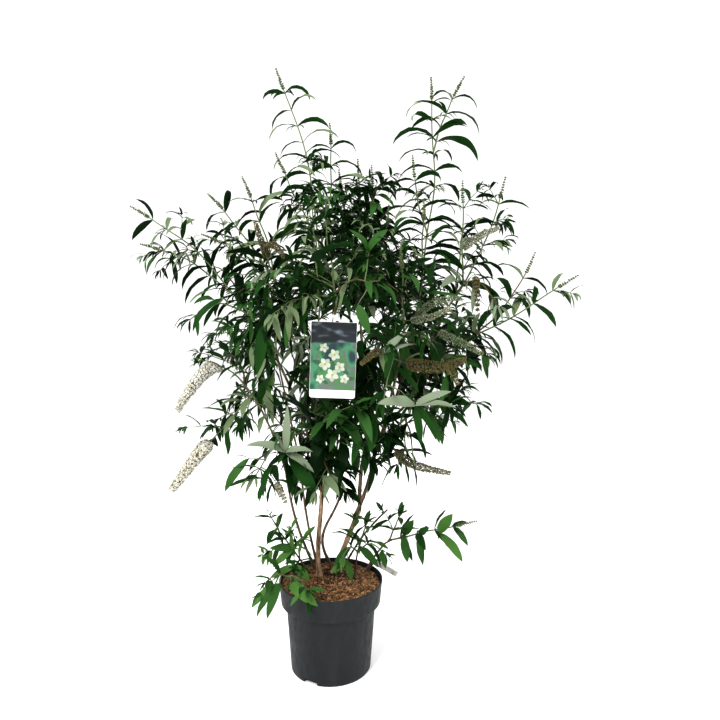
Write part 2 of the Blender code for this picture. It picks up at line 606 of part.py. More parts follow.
class Growth:
    """One mass as it grows: its solids, and the tests that keep it in its space."""

    def __init__(self, name, mass, space, obstacles):
        self.name = name
        self.mass = mass
        self.space = space
        self.obstacles = obstacles
        self.solids = []
        self.leaves = []
        self.draw = random.Random(name)

    def in_space(self, verts):
        own = self.space[self.name]
        for point in verts:
            distance = own.find(point)[2] + SPACE_MARGIN
            for name, tree in self.space.items():
                if name != self.name and tree.find(point)[2] < distance:
                    return False
        above = SOIL_TOP + SPACE_MARGIN
        return all(point.z > above or math.hypot(point.x, point.y) > RIM_RADIUS for point in verts)

    def is_clear(self, solid, trees):
        """True where the solid, grown a little about its middle, meets none of the others."""
        verts, faces = solid
        centre = sum(verts, Vector()) / len(verts)
        grown = [centre + (v - centre) * CLEARANCE_SCALE for v in verts]
        tree = BVHTree.FromPolygons(grown, faces)
        return not any(tree.overlap(other) for other in trees)

    def add_leaf(self, root, direction, length):
        roll = self.draw.uniform(-LEAF_ROLL, LEAF_ROLL)
        solid = leaf_solid(root, direction.normalized(), length * LEAF_SCALE, roll)
        verts, faces = solid
        tip = verts[5]
        outer = [tip + (v - tip) * OUTER_LEAF for v in verts]
        if not self.in_space(verts[1:]) or not self.is_clear(solid, self.obstacles):
            return
        if not self.is_clear((outer, faces), self.leaves):
            return
        self.leaves.append(BVHTree.FromPolygons(outer, faces))
        self.solids.append(solid)

    def add_pair(self, point, along, turn, length, radius):
        """Two opposite leaves at a node, their roots sunk past the twig's middle."""
        side = along.orthogonal().normalized()
        outward = Matrix.Rotation(turn, 3, along) @ side
        for sign in (1, -1):
            tilt = LEAF_RISE + self.draw.uniform(-LEAF_TILT, LEAF_TILT)
            size = length * self.draw.uniform(*LEAF_SIZES)
            direction = (outward * sign + along * tilt).normalized()
            self.add_leaf(point - direction * radius * 0.3, direction, size)

    def add_side_twig(self, point, along, turn, reach):
        """A short twig with pairs of leaves and a leaf at its end."""
        side = along.orthogonal().normalized()
        outward = Matrix.Rotation(turn, 3, along) @ side
        lean = self.draw.uniform(*TWIG_LEANS)
        length = reach * self.draw.uniform(*TWIG_LENGTHS)
        first_turn = self.draw.uniform(0, math.pi)
        direction = (outward + along * lean).normalized()
        tip = point + direction * length
        bow = UP * length * TWIG_BOW
        points = curve(point, tip, bow, (0, 0, 0), 2)
        radii = tapered(TWIG_RADIUS, TWIG_TIP_RADIUS, 2)
        solid = tube(points, radii, TWIG_SIDES)
        if not self.in_space(points[1:]) or not self.is_clear(solid, self.obstacles):
            return
        self.solids.append(solid)
        nodes = max(1, round(length / TWIG_INTERNODE) - 1)
        for i in range(nodes):
            t = (i + 1) / (nodes + END_SPARE)
            node = curve_point(point, tip, bow, (0, 0, 0), t)
            size = self.mass.leaf * (1 - 0.3 * t)
            self.add_pair(node, direction, first_turn + i * math.pi / 2, size, TWIG_RADIUS * (1 - t / 2))
        self.add_leaf(tip - direction * TWIG_RADIUS, direction, self.mass.leaf * TERMINAL_LEAF)

    def add_shoot(self, start, shoot, radius, foot=None):
        """A leading shoot with leaf pairs, side twigs and its spike or end leaf."""
        tip = Vector(shoot.tip)
        length = (tip - start).length
        end = spike_start(start, shoot) if shoot.spike else 1
        points = [along_shoot(start, shoot, end * i / SHOOT_STEPS) for i in range(SHOOT_STEPS + 1)]
        radii = tapered(radius, SHOOT_TIP_RADIUS, SHOOT_STEPS)
        if foot:
            self.solids.append(tube([foot] + points, [radius] + radii, TWIG_SIDES, start - foot))
        else:
            self.solids.append(tube(points, radii, TWIG_SIDES))
        if shoot.spike:
            direction = (tip - points[-1]).normalized()
            base = points[-1] - direction * SHOOT_TIP_RADIUS
            self.solids.append(spike_solid(base, direction, shoot.spike))
        nodes = max(2, round(length * end / INTERNODE))
        turn = self.draw.uniform(0, math.pi)
        for i in range(nodes):
            t = (i + FIRST_NODE) / nodes * end
            node = along_shoot(start, shoot, t)
            along = (along_shoot(start, shoot, t + STEP_AHEAD) - node).normalized()
            size = self.mass.leaf * (1 - (1 - TIP_LEAF) * t * t)
            self.add_pair(node, along, turn + i * math.pi / 2, size, radius * (1 - SHOOT_THINNING * t))
            if i % self.mass.branching == 1 and i < nodes - 1:
                reach = TWIG_REACH * (1 - TWIG_REACH_LOSS * t)
                self.add_side_twig(node, along, turn + GOLDEN_ANGLE * i, reach)
        if not shoot.spike:
            self.add_leaf(points[-1] - along * SHOOT_TIP_RADIUS, along, self.mass.leaf * TERMINAL_LEAF)

    def grow(self, start, normal):
        """The mass's stem meets the limb's end, then divides into its leading shoots."""
        neck = start + normal * NECK
        leading = self.mass.shoots[0]
        self.add_shoot(neck, leading, SHOOT_RADIUS, start)
        for shoot in self.mass.shoots[1:]:
            radius = SHOOT_RADIUS * (FORK_RADII[0] - FORK_RADII[1] * shoot.at)
            self.add_shoot(along_shoot(neck, leading, shoot.at), shoot, radius)


def shoot_space(placed):
    """For each mass, the places along its leading shoots, which set its space."""
    space = {}
    for name, mass in MASSES.items():
        start, _, _ = parent_frame(placed[mass.limb], 1)
        leading = mass.shoots[0]
        points = []
        for shoot in mass.shoots:
            fork = along_shoot(start, leading, shoot.at)
            points += curve(fork, Vector(shoot.tip), shoot.bow, (0, 0, 0), SPACE_SAMPLES)
        tree = KDTree(len(points))
        for i, point in enumerate(points):
            tree.insert(point, i)
        tree.balance()
        space[name] = tree
    return space


def drop_scraps(obj):
    """Keep a mesh's largest connected piece."""
    shape = bmesh.new()
    shape.from_mesh(obj.data)
    left = set(shape.verts)
    pieces = []
    while left:
        piece = {left.pop()}
        front = list(piece)
        while front:
            vert = front.pop()
            for edge in vert.link_edges:
                other = edge.other_vert(vert)
                if other in left:
                    left.remove(other)
                    piece.add(other)
                    front.append(other)
        pieces.append(piece)
    largest = max(pieces, key=len)
    for piece in pieces:
        if piece is not largest:
            bmesh.ops.delete(shape, geom=list(piece), context="VERTS")
    shape.to_mesh(obj.data)
    shape.free()


def join_mass(name, solids, mat):
    """Fuse a mass's twigs, leaves and spikes into one solid."""
    base = make_object(name, solids[0], mat)
    parts = bpy.data.collections.new(name + "_parts")
    bpy.context.scene.collection.children.link(parts)
    for solid in solids[1:]:
        piece = make_object(name + "_part", solid)
        bpy.context.scene.collection.objects.unlink(piece)
        parts.objects.link(piece)
    boolean(base, parts, "UNION", "MANIFOLD")
    for piece in list(parts.objects):
        bpy.data.objects.remove(piece)
    bpy.data.collections.remove(parts)
    drop_scraps(base)
    return base


def object_tree(obj):
    mesh = obj.data
    return BVHTree.FromPolygons([v.co for v in mesh.vertices], [tuple(p.vertices) for p in mesh.polygons])


def make_masses(fixed, placed):
    """All masses of foliage, each kept clear of the limbs, the pot and the masses before it."""
    foliage = material("foliage", (0.045, 0.135, 0.035), 0.55)
    space = shoot_space(placed)
    obstacles = [object_tree(obj) for obj in fixed]
    for name, mass in MASSES.items():
        point, normal, _ = parent_frame(placed[mass.limb], 1)
        growth = Growth(name, mass, space, obstacles)
        growth.grow(point + normal * GAP, normal)
        obj = join_mass(name, growth.solids, foliage)
        obstacles.append(object_tree(obj))


def card_outline(label):
    """A card's outline in its own plane: its strap's upper edge is at the origin."""
    width, length = label.size
    half = width / 2
    strap = STRAP_WIDTH / 2
    inset = half - label.corner
    high = -label.strap - label.corner
    low = -label.strap - length + label.corner
    outline = []
    for x, z, first in ((inset, high, 0), (-inset, high, 90), (-inset, low, 180), (inset, low, 270)):
        for step in range(3):
            angle = math.radians(first + 45 * step)
            outline.append((x + label.corner * math.cos(angle), z + label.corner * math.sin(angle)))
        if first == 0:
            outline += [(strap, -label.strap), (strap, 0), (-strap, 0), (-strap, -label.strap)]
    return outline


def plate(outline, thickness):
    """A flat plate of the outline, which lies in XZ and is centred on Y."""
    count = len(outline)
    verts = [Vector((x, y, z)) for y in (-thickness / 2, thickness / 2) for x, z in outline]
    faces = [tuple(range(count)), tuple(reversed(range(count, 2 * count)))]
    for i in range(count):
        j = (i + 1) % count
        faces.append((i, i + count, j + count, j))
    return verts, faces


def band_solid(radius):
    """The band round a limb, its axis along Y."""
    inner = radius + BAND_GAP
    outer = inner + BAND_THICKNESS
    verts = []
    for y, ring in ((-1, inner), (-1, outer), (1, outer), (1, inner)):
        for i in range(BAND_SIDES):
            angle = 2 * math.pi * i / BAND_SIDES
            verts.append(Vector((ring * math.cos(angle), y * BAND_WIDTH / 2, ring * math.sin(angle))))
    faces = []
    for ring in range(4):
        low = ring * BAND_SIDES
        high = (ring + 1) % 4 * BAND_SIDES
        for i in range(BAND_SIDES):
            j = (i + 1) % BAND_SIDES
            faces.append((low + i, low + j, high + j, high + i))
    return verts, faces


def make_label(name, label, placed, mat):
    """A card and the band that holds it, below its limb or behind it."""
    here, along, radius = parent_frame(placed[label.limb], label.at)
    side = along.cross(UP).normalized()
    turn = Matrix((side, along, side.cross(along))).transposed()
    verts, faces = band_solid(radius)
    band = ([here + turn @ v for v in verts], faces)
    hang = Matrix.Rotation(math.radians(-label.tilt), 3, "Y")
    reach = radius + BAND_GAP + BAND_THICKNESS * 0.5
    shift = Vector((0, reach, 0)) + hang @ UP * BAND_WIDTH / 2 if label.behind else hang @ UP * -reach
    verts, faces = plate(card_outline(label), CARD_THICKNESS)
    card = ([here + shift + hang @ v for v in verts], faces)
    obj = make_object(name, card, mat)
    loop = make_object(name + "_band", band)
    boolean(obj, loop, "UNION")
    bpy.data.objects.remove(loop)
    return obj


def main():
    clear_scene()
    fixed = [make_pot(), make_soil()]
    limbs, placed = make_limbs()
    fixed += limbs.values()
    cards = {
        "tag": material("tag_card", (0.14, 0.36, 0.24), 0.35),
        "slip": material("slip_card", (0.62, 0.60, 0.55), 0.45),
    }
    fixed += [make_label(name, label, placed, cards[name]) for name, label in LABELS.items()]
    make_masses(fixed, placed)


main()
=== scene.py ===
import json
import math
import random
from bisect import bisect
from typing import NamedTuple

import bpy
import numpy as np
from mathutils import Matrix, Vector, noise

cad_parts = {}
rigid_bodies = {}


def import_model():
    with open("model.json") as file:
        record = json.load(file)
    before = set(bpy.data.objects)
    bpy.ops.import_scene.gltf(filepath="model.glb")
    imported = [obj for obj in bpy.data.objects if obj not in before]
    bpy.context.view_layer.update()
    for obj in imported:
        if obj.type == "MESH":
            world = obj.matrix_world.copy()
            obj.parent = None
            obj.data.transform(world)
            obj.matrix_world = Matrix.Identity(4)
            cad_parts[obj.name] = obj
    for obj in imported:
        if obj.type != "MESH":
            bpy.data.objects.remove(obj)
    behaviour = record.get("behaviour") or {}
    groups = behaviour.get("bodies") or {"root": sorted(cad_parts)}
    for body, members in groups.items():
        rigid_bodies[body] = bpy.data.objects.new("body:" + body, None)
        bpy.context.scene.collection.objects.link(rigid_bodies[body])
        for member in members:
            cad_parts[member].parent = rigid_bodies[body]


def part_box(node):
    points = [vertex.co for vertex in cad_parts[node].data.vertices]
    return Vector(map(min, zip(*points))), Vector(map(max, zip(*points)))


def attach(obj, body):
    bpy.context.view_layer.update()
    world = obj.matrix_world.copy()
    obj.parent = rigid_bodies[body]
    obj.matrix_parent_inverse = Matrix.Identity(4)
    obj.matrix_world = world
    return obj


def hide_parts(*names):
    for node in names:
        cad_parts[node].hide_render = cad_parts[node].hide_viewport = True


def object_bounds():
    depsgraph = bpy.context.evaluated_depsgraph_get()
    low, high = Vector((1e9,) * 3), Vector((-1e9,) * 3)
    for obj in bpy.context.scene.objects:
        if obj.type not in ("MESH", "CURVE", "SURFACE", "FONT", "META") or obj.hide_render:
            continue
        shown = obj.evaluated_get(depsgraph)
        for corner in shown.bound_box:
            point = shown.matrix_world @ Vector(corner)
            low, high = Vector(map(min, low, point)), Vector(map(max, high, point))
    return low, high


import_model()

cad_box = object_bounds()
tag_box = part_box("tag")

UP = np.array((0.0, 0.0, 1.0))
AWAY = np.array((0.0, 1.0, 0.0))
NEARLY_AWAY = 0.15
NEARLY_UPRIGHT = 0.05

# Pot, in metres, as in the solids
POT_HEIGHT = 0.273
RIM_RADIUS = 0.159
RIM_EDGE = 0.001
RIM_BAND = 0.007
RIM_BAND_FOOT = 0.008
RIM_LIP = 0.010
COLLAR_FOOT = 0.205
COLLAR_FOOT_RADIUS = 0.1525
BODY_TOP_RADIUS = 0.1375
BASE_RADIUS = 0.1225
POT_WALL = 0.004
LEDGE = COLLAR_FOOT + POT_WALL
FLOOR_THICKNESS = 0.016
POT_SIDES = 144
POT_SHARP = 32
POT_DENT = 0.0005
POT_ROUNDING = 0.0028
MOST_ROUNDING = 0.45
POT_RUN = 0.012
DENTED_FROM = (0.05, 0.02)
DENTS_ROUND = 2.2
DENTS_UP = 9
NOTCH_ANGLES = (-27, 93, -147)
NOTCH_WIDTH = 0.054
NOTCH_HEIGHT = 0.012
NOTCH_DEPTH = 0.014
NOTCH_TAPER = 0.74

# Soil and the chips of bark on it
SOIL_TOP = 0.260
SOIL_RELIEF = 0.0035
SOIL_SIDES = 64
SOIL_RINGS = 24
LUMPS = 22
CRUMBS = 60
CRUMB_SHARE = 0.6
CHIPS = 6500
FIBRES = 260
ROOT_BALL = np.array((0.012, 0.052))
ROOT_BALL_RADIUS = 0.045
MOUND = 0.003
MOUND_SPREAD = 0.004
CHIP_SPREAD = 0.1495
CHIP_EDGE = 0.1525
CHIP_LENGTHS = (0.003, 0.013)
CHIP_WIDTHS = (0.16, 0.5)
CHIP_DEPTHS = (0.0008, 0.0022)
CHIP_LIFTS = (0.0002, 0.0045)
CHIP_TILT = 0.32
CHIP_SHARES = (0.30, 0.36, 0.22, 0.12)
LONG_SHARE = 0.15
LONG_CHIP = 1.5
DARK_SHARE = 1.05
CHIP_SHARP = 40
FIBRE_SPREAD = 0.13
FIBRE_LENGTHS = (0.008, 0.022)
FIBRE_LIFTS = (0.0005, 0.004)
FIBRE_RISE = 0.003
FIBRE_RADII = (0.0004, 0.0005, 0.0003)

# Limbs
GAP = 0.0003
LIMB_STEPS = 5
LEAST_RINGS = 8
BARK_RING = 0.004
BARK_SIDES = 14
BARK_NODE_GAP = 0.075
FLARE = 0.45
FLARE_HEIGHT = 0.014
SOIL_SINK = 0.006
SUNK_WIDTH = 1.1
SOCKET_SHARE = 0.3
SOCKET_DEPTH = 0.010
GRIP = 0.35
GRIP_REACH = 0.012
NODE_SWELL = 0.20
NODE_REACH = 0.0035

# Relief of the bark, and its colours from the deepest cracks to the highest ridges: painted shade in the
# cracks, painted highlight on the ridges
CRACKS_ROUND = 1.6
CRACKS_ALONG = 22
CRACK_DEPTH = 0.16
FINE_ROUND = 4
FINE_ALONG = 90
FINE_DEPTH = 0.07
FINE_SHADE_SHARE = 0.55
RELIEF_SHADE_STEPS = (-0.22, -0.02, 0.26)
RELIEF_SHADE_SLOTS = (2, 1, 0, 3)

# Leading shoots, side twigs and the small twigs on these
BENDS = (1.2, 2.6)
PATH_STEP = 0.03
PATH_SLACK = 0.01
NODE_PLACE = 0.75
NODE_SHARE = (1.0, 0.75, 0.6)
TWIG_SIDES = 5
TWIG_STEP = 0.016
NECK = 0.012
TWIG_RADII = ((0.0030, 0.0017), (0.0018, 0.0009), (0.0011, 0.0006))
TWIG_LEAF = 0.50
TWIG_LEAF_REACH = 0.40
WOBBLE = 0.012
SPIKED_WOBBLE = 0.6
FOOT_SINK = 0.01
FOOT_WIDTH = 0.95
FOOT_SIDES = 8
TWIG_TAPER = 0.6
RED_SHARE = 0.25
UNDER_SHARES = (1, 2)

# Side twigs: lean, length, lift, bow, turn, and how often and how far they grow at each level
TWIG_LEANS = (0.5, 1.0)
TWIG_LENGTHS = (0.7, 1.1)
TWIG_LIFT = 0.15
TWIG_BOWS = (0.02, 0.14)
TWIG_CHANCE = (0.62, 0.30, 0)
TWIG_REACH = (1, 0.5, 0)
CHANCE_FALL = 0.55
REACH_FALL = 0.65
FIRST_TURN = 0.3
TURN_SLACK = 0.2

# Pairs and tufts of leaves, as shares of the length of the mass's leaves
LEAF_SIZES = (0.78, 1.08)
SMALL_TWIG_LEAF = 0.8
PAIR_ROOT = 0.4
TUFT_SPREAD = (-0.8, 0.8)
TUFT_SIZES = (0.5, 1)
TUFT_LEANS = (0.8, 1.6)
NODE_TUFT = 0.38
END_TUFT = 0.45
END_LEAF = 0.40
END_LIFT = 0.2
SPRIG_TUFT = 0.30
SPRIG_PAIR = 0.50
SPRIG_PAIR_PLACE = 0.9

# Spikes: stalk, whorls and how its flowers crowd, stand out and shrink towards the tip
STALK_RADII = (0.0012, 0.0005)
WHORL_GAP = 0.0065
LEAST_WHORLS = 6
CROWDING = 1.15
WHORL_SLACK = 0.012
FOOT_FULLNESS = 0.55
FILLING = 5
NARROWING_POWER = 1.8
FLOWER_DEPTHS = (0.30, 1.0)
FLOWER_LEANS = (0.1, 0.9)
FLOWER_SIZES = (0.75, 1.2)
SHRINKING = 0.4

# Points along a spike where leaves keep clear, and the share of its radius that they leave in view
SIGHT_POINTS = 9
SIGHT_SHARE = 0.8

# Where along a leaf its cross-sections lie, for a full leaf, a small one and a wide one
FULL_LEAF = (0, 0.05, 0.14, 0.27, 0.42, 0.58, 0.74, 0.88, 1)
SMALL_LEAF = (0, 0.08, 0.3, 0.6, 0.85, 1)
WIDE_LEAF = tuple(i / 16 for i in range(17))
SMALL_LENGTH = 0.055
WIDE_WIDTH = 0.0265
FOOT_POWER = 0.70
TIP_POWER = 0.90
LEAST_PROFILE = 0.03
LEAF_THICKNESS = 0.0004
STALK = 0.0011

# A leaf's row of numbers starts with its root and direction, which take three columns each
LENGTH, WIDTH, CURL, ROLL, TWIST, FOLD, PHASE, TOP, UNDER = range(6, 15)

# How each leaf varies, bends, folds and waves, and how leaves that show turn to the front
LEAF_WIDTHS = (0.85, 1.15)
LEAF_ROLLS = (-0.55, 0.55)
LEAF_TWISTS = (-0.9, 0.9)
LEAF_FOLDS = (0.12, 0.55)
ALL_ROUND = 6.28
CURL_POWER = 1.15
MOST_CURL = 0.97
FOLD_FALL = 0.5
EDGE_WAVE = 0.16
LEFT_WAVES = 14
RIGHT_WAVES = 12
RIGHT_PHASE = 1.7
BLADE_TILT = 0.85
STEEP_BLADE = 0.92

# Room that leaves keep from the model's box, the pot, the soil, and the card in the picture
BOX_SLACK = np.array((0.012, 0.010, 0.006))
POT_ROOM = 0.002
SOIL_ROOM = 0.004
CARD_ROOM = 0.003
CARD_COVER = 0.030
CARD_BACK = 0.006

# Labels: band and strap, card, and the print on the picture card
BAND_GAP = 0.0006
BAND_THICKNESS = 0.0010
BAND_WIDTH = 0.005
BAND_SIDES = 24
STRAP_WIDTH = 0.006
CARD_THICKNESS = 0.0012
CORNER_STEPS = 6
CARD_MARGIN = 0.0006
CARD_STRIP = 0.021
CARD_SHARP = 30
PRINT_LIFT = 0.0001
PRINT_STEP = 0.00002
PRINT_SPLIT = 0.70
PRINT_BLUR = 0.001
PRINT_GREENS = ((0.32, (0.010, 0.035, 0.045)), (0.42, (0.025, 0.140, 0.070)), (0.50, (0.060, 0.210, 0.110)),
                (0.58, (0.110, 0.120, 0.115)), (0.68, (0.060, 0.160, 0.060)))
PRINT_DARKS = ((0.40, (0.003, 0.006, 0.009)), (0.52, (0.010, 0.018, 0.025)), (0.64, (0.130, 0.160, 0.190)))
BLOSSOMS = ((-0.42, 0.62, 0.013), (0.05, 0.52, 0.016), (-0.35, 0.38, 0.017), (0.30, 0.34, 0.015),
            (-0.02, 0.22, 0.018), (0.52, 0.17, 0.013), (-0.55, 0.16, 0.012))
LEAF_PRINT = (2.1, 0.7)
PETAL_PRINT = (1, 0.72)
PETALS = 5
PETAL_BULGE = 1.3
PETAL_FOOT = 0.04
EYE_PRINT = 0.2
EYE_ANGLES = np.linspace(5.5, 0, 8)
INK_SMUDGE = 0.8
BLOSSOM_INKS = ((0.480, 0.500, 0.430), (0.360, 0.420, 0.300), (0.300, 0.310, 0.080), (0.060, 0.190, 0.050),
                (0.025, 0.100, 0.045))

# Camera, floor and lights, each light with its place, size and power
CAMERA_PLACE = (0.090, -1.759, 1.05)
CAMERA_PITCH = 3.33
CAMERA_LENS = 29.1
SENSOR = 36.0
VIEW_GAMMA = 0.86
FLOOR_REACH = 40
FLOOR_WHITE = (0.90, 0.90, 0.90)
SKY_STRENGTH = 1.2
LIGHT_AIM = (0, 0, 0.9)
LIGHTS = {
    "key": ((-2.2, -3.2, 3.8), 2.2, 330),
    "fill": ((3.2, -2.8, 1.8), 2.6, 90),
    "back": ((0.6, 3.4, 3.0), 3.0, 60),
}


class Limb(NamedTuple):
    """A tapering limb, from the soil or a place along its parent to its tip."""
    parent: str
    at: float
    tip: tuple
    radii: tuple
    bow: tuple = (0, 0, 0)
    sway: tuple = (0, 0, 0)
    base: tuple = ()
    bark: str = "brown"


class Shoot(NamedTuple):
    """A leading shoot: where it starts along the first one, tip, bow, spike and grown share."""
    at: float
    tip: tuple
    bow: tuple = (0, 0, 0)
    spike: str = ""
    grown: float = 1.0


class Mass(NamedTuple):
    """A mass of foliage: the limb that carries it, its leaf length, its form and leading shoots."""
    limb: str
    leaf: float
    form: str
    shoots: tuple


class Label(NamedTuple):
    """A label: its limb and place on it, card size, strap, corner, tilt, and if it is behind."""
    limb: str
    at: float
    size: tuple
    strap: float
    corner: float
    tilt: float
    behind: bool


class Form(NamedTuple):
    """How leaves and twigs stand.

    Leaf length for the mass's own, width for that length, share of the length left at a tip, gap
    between nodes, bend and rise of leaves, share of nodes with side twigs, how far these reach,
    the turn of pairs that spread to two sides, and the weights of leaf colours.
    """
    length: float
    width: float
    tip: float
    gap: float
    curl: tuple
    rise: tuple
    twigs: float
    reach: float
    spread: float
    tops: tuple


class Spike(NamedTuple):
    """A flower spike: length, radius, its flowers' number, size and colours, and if they are open."""
    length: float
    radius: float
    count: int
    size: float
    narrowing: float
    is_open: bool
    share: tuple


class Blade(NamedTuple):
    """One leaf at a sprig's end: how far it reaches, its width, bend and colours."""
    reach: tuple
    width: float
    curl: float
    top: str = "middle"
    under: str = "pale"


class Sprig(NamedTuple):
    """A twig that shows: the shoot and place it grows from, tip, bow, spike, leaf length and end leaves."""
    shoot: int
    at: float
    tip: tuple
    bow: tuple = (0, 0, 0)
    spike: str = ""
    leaf: float = 0.0
    blades: tuple = ()


class Finish(NamedTuple):
    """A finish: roughness, specular, sheen, and its grain's scale, stretch, detail, strength and depth."""
    roughness: float
    specular: float
    sheen: float
    scale: float
    stretch: tuple
    detail: float
    strength: float
    depth: float


def leafy(shoot, at, tip, leaf=0.12):
    """A leafy sprig with a slight bow."""
    return Sprig(shoot, at, tip, (0, 0, 0.010), "", leaf)


# The last numbers weigh the colours deep, dark, middle, fresh, grey and felted for upper sides
FORMS = {
    "sickle": Form(1.25, 0.165, 0.60, 0.049, (1.5, 2.5), (0.5, 1.1), 0.35, 0.08, 0.35, (0, 1, 2, 0, 8, 2)),
    "open": Form(1.00, 0.190, 0.55, 0.062, (0.9, 2.0), (0.4, 1.1), 0.36, 0.12, 0.40, (0, 2, 4, 0, 7, 1)),
    "airy": Form(0.65, 0.250, 0.70, 0.050, (0.4, 1.5), (0.1, 0.9), 0.50, 0.16, 0, (1, 4, 5, 1, 2, 0)),
    "arching": Form(1.00, 0.210, 0.65, 0.053, (0.8, 1.9), (0.3, 1.0), 0.76, 0.20, 0, (4, 6, 6, 1, 4, 0)),
    "broad": Form(1.00, 0.225, 0.70, 0.052, (0.3, 1.3), (0.0, 0.7), 0.68, 0.20, 0, (4, 6, 5, 0, 2, 0)),
    "basal": Form(1.00, 0.270, 0.70, 0.050, (0.2, 1.0), (0.2, 0.8), 0.45, 0.12, 0, (0, 2, 5, 4, 0, 0)),
}

# The last names are the colours of a spike's flowers and their weights
SPIKES = {
    "bud": Spike(0.066, 0.0058, 170, 0.0046, 0.75, False, (("bud", 7), ("felt", 1), ("olive", 3))),
    "white": Spike(0.175, 0.0235, 2000, 0.0048, 0.50, True, (("petal", 30), ("cream", 8))),
    "fading": Spike(0.175, 0.0240, 2000, 0.0048, 0.50, True, (("petal", 26), ("cream", 9), ("rust", 3))),
    "brown": Spike(0.150, 0.0185, 1300, 0.0056, 0.55, False, (("rust", 4), ("husk", 3), ("olive", 5))),
    "short": Spike(0.075, 0.0105, 380, 0.0050, 0.50, False, (("rust", 4), ("husk", 3), ("olive", 4))),
    "spent": Spike(0.110, 0.0120, 620, 0.0050, 0.60, False,
                   (("rust", 4), ("husk", 2), ("olive", 5), ("felt", 1))),
    "straw": Spike(0.170, 0.0155, 1500, 0.0050, 0.60, False, (("straw", 6), ("olive", 4), ("felt", 1))),
    "pale": Spike(0.120, 0.0140, 800, 0.0050, 0.60, False, (("cream", 5), ("felt", 5), ("rust", 1))),
    "green": Spike(0.130, 0.0130, 700, 0.0048, 0.60, False, (("bud", 5), ("felt", 4), ("straw", 1))),
    "young": Spike(0.120, 0.0105, 600, 0.0048, 0.50, False, (("bud", 2), ("cream", 3), ("felt", 3))),
    "little": Spike(0.060, 0.0120, 480, 0.0046, 0.50, True, (("cream", 4), ("felt", 3), ("rust", 1))),
}

# Stems and boughs, as in the solids
LIMBS = {
    "stem_left": Limb("soil", 0, (-0.032, 0.020, 0.620), (0.0078, 0.0062), sway=(-0.004, 0, 0),
                      base=(-0.039, 0.045), bark="tan"),
    "stem_right": Limb("soil", 0, (0.088, 0.030, 0.478), (0.0085, 0.007), base=(0.006, 0.065), bark="tan"),
    "stem_outer": Limb("soil", 0, (-0.138, 0.010, 0.600), (0.0045, 0.0034), bow=(-0.014, 0, 0),
                       base=(-0.055, 0.090)),
    "stem_inner": Limb("soil", 0, (-0.105, 0.120, 0.600), (0.0042, 0.0032), bow=(-0.008, 0, 0),
                       base=(-0.050, 0.115)),
    "stem_bent": Limb("soil", 0, (0.010, 0.120, 0.585), (0.0048, 0.0034), bow=(-0.012, 0, 0),
                      sway=(-0.026, 0, 0), base=(-0.002, 0.115)),
    "stem_low_right": Limb("soil", 0, (0.170, 0.045, 0.365), (0.0038, 0.0028), bow=(-0.006, 0, 0),
                           base=(0.108, 0.070)),
    "stem_low_left": Limb("soil", 0, (-0.118, 0.035, 0.345), (0.003, 0.0024), base=(-0.072, 0.060)),
    "stem_low_middle": Limb("soil", 0, (0.080, 0.010, 0.335), (0.0034, 0.0026), base=(0.072, 0.030)),
    "stem_low_front": Limb("soil", 0, (-0.115, -0.062, 0.294), (0.0028, 0.0022), base=(-0.092, -0.035)),
    "cut_stem": Limb("soil", 0, (0.176, 0.040, 0.474), (0.0034, 0.0026), bow=(-0.006, 0, 0.012),
                     base=(0.035, 0.100)),
    "cut_stub": Limb("soil", 0, (0.168, 0.088, 0.296), (0.0034, 0.0024), bow=(-0.002, 0, 0.012),
                     base=(0.116, 0.084)),
    "fork_left": Limb("stem_right", 1, (0.108, 0.050, 0.680), (0.0066, 0.0056), bow=(-0.006, 0, 0)),
    "fork_right": Limb("stem_right", 0.88, (0.138, -0.025, 0.680), (0.0058, 0.0052),
                       bow=(0.006, -0.008, -0.004)),
    "bough_spire_left": Limb("stem_left", 1, (-0.036, 0.000, 1.020), (0.006, 0.0044), bow=(0.010, 0, 0)),
    "bough_far_left": Limb("stem_left", 0.92, (-0.200, 0.030, 1.020), (0.0048, 0.0036),
                           bow=(0.020, 0, -0.010)),
    "bough_upper_left": Limb("bough_spire_left", 0.3, (-0.135, -0.040, 1.080), (0.0044, 0.0034),
                             bow=(0.012, 0, -0.006)),
    "bough_low_left": Limb("stem_outer", 1, (-0.195, -0.070, 0.800), (0.0033, 0.0028), bow=(0.006, 0, 0)),
    "bough_back_left": Limb("stem_inner", 1, (-0.180, 0.210, 0.890), (0.0031, 0.0027)),
    "bough_top": Limb("fork_left", 1, (0.093, 0.055, 1.030), (0.0054, 0.0042), bow=(0.008, 0, 0)),
    "bough_back_top": Limb("bough_top", 0.35, (0.060, 0.185, 1.050), (0.0042, 0.0032),
                           bow=(0, -0.012, -0.010)),
    "bough_back_right": Limb("fork_left", 0.85, (0.190, 0.210, 0.920), (0.0044, 0.0034),
                             bow=(0, -0.010, -0.015)),
    "bough_spire_right": Limb("fork_right", 1, (0.245, 0.005, 1.020), (0.005, 0.0041),
                              bow=(0.010, 0, -0.010)),
    "bough_right": Limb("bough_spire_right", 0.28, (0.320, -0.055, 0.960), (0.0042, 0.0032),
                        bow=(0.006, 0, -0.014)),
    "bough_upper_right": Limb("bough_spire_right", 0.66, (0.350, 0.030, 1.090), (0.004, 0.0032),
                              bow=(0.006, 0, -0.010)),
    "bough_low_right": Limb("fork_right", 0.8, (0.200, -0.120, 0.770), (0.004, 0.003), bow=(0, 0, -0.010)),
    "bough_front_right": Limb("bough_spire_right", 0.12, (0.205, -0.215, 1.000), (0.0042, 0.0032),
                              bow=(0, 0, -0.004)),
    "bough_front": Limb("bough_spire_left", 0.2, (0.030, -0.285, 1.104), (0.0044, 0.0032),
                        bow=(0, 0.020, 0.060)),
    "bough_front_low": Limb("stem_left", 0.8, (-0.070, -0.150, 0.740), (0.004, 0.003), bow=(0, 0, -0.008)),
    "bough_back_low": Limb("stem_bent", 1, (0.020, 0.240, 0.760), (0.0033, 0.0028), bow=(0, -0.008, 0)),
}

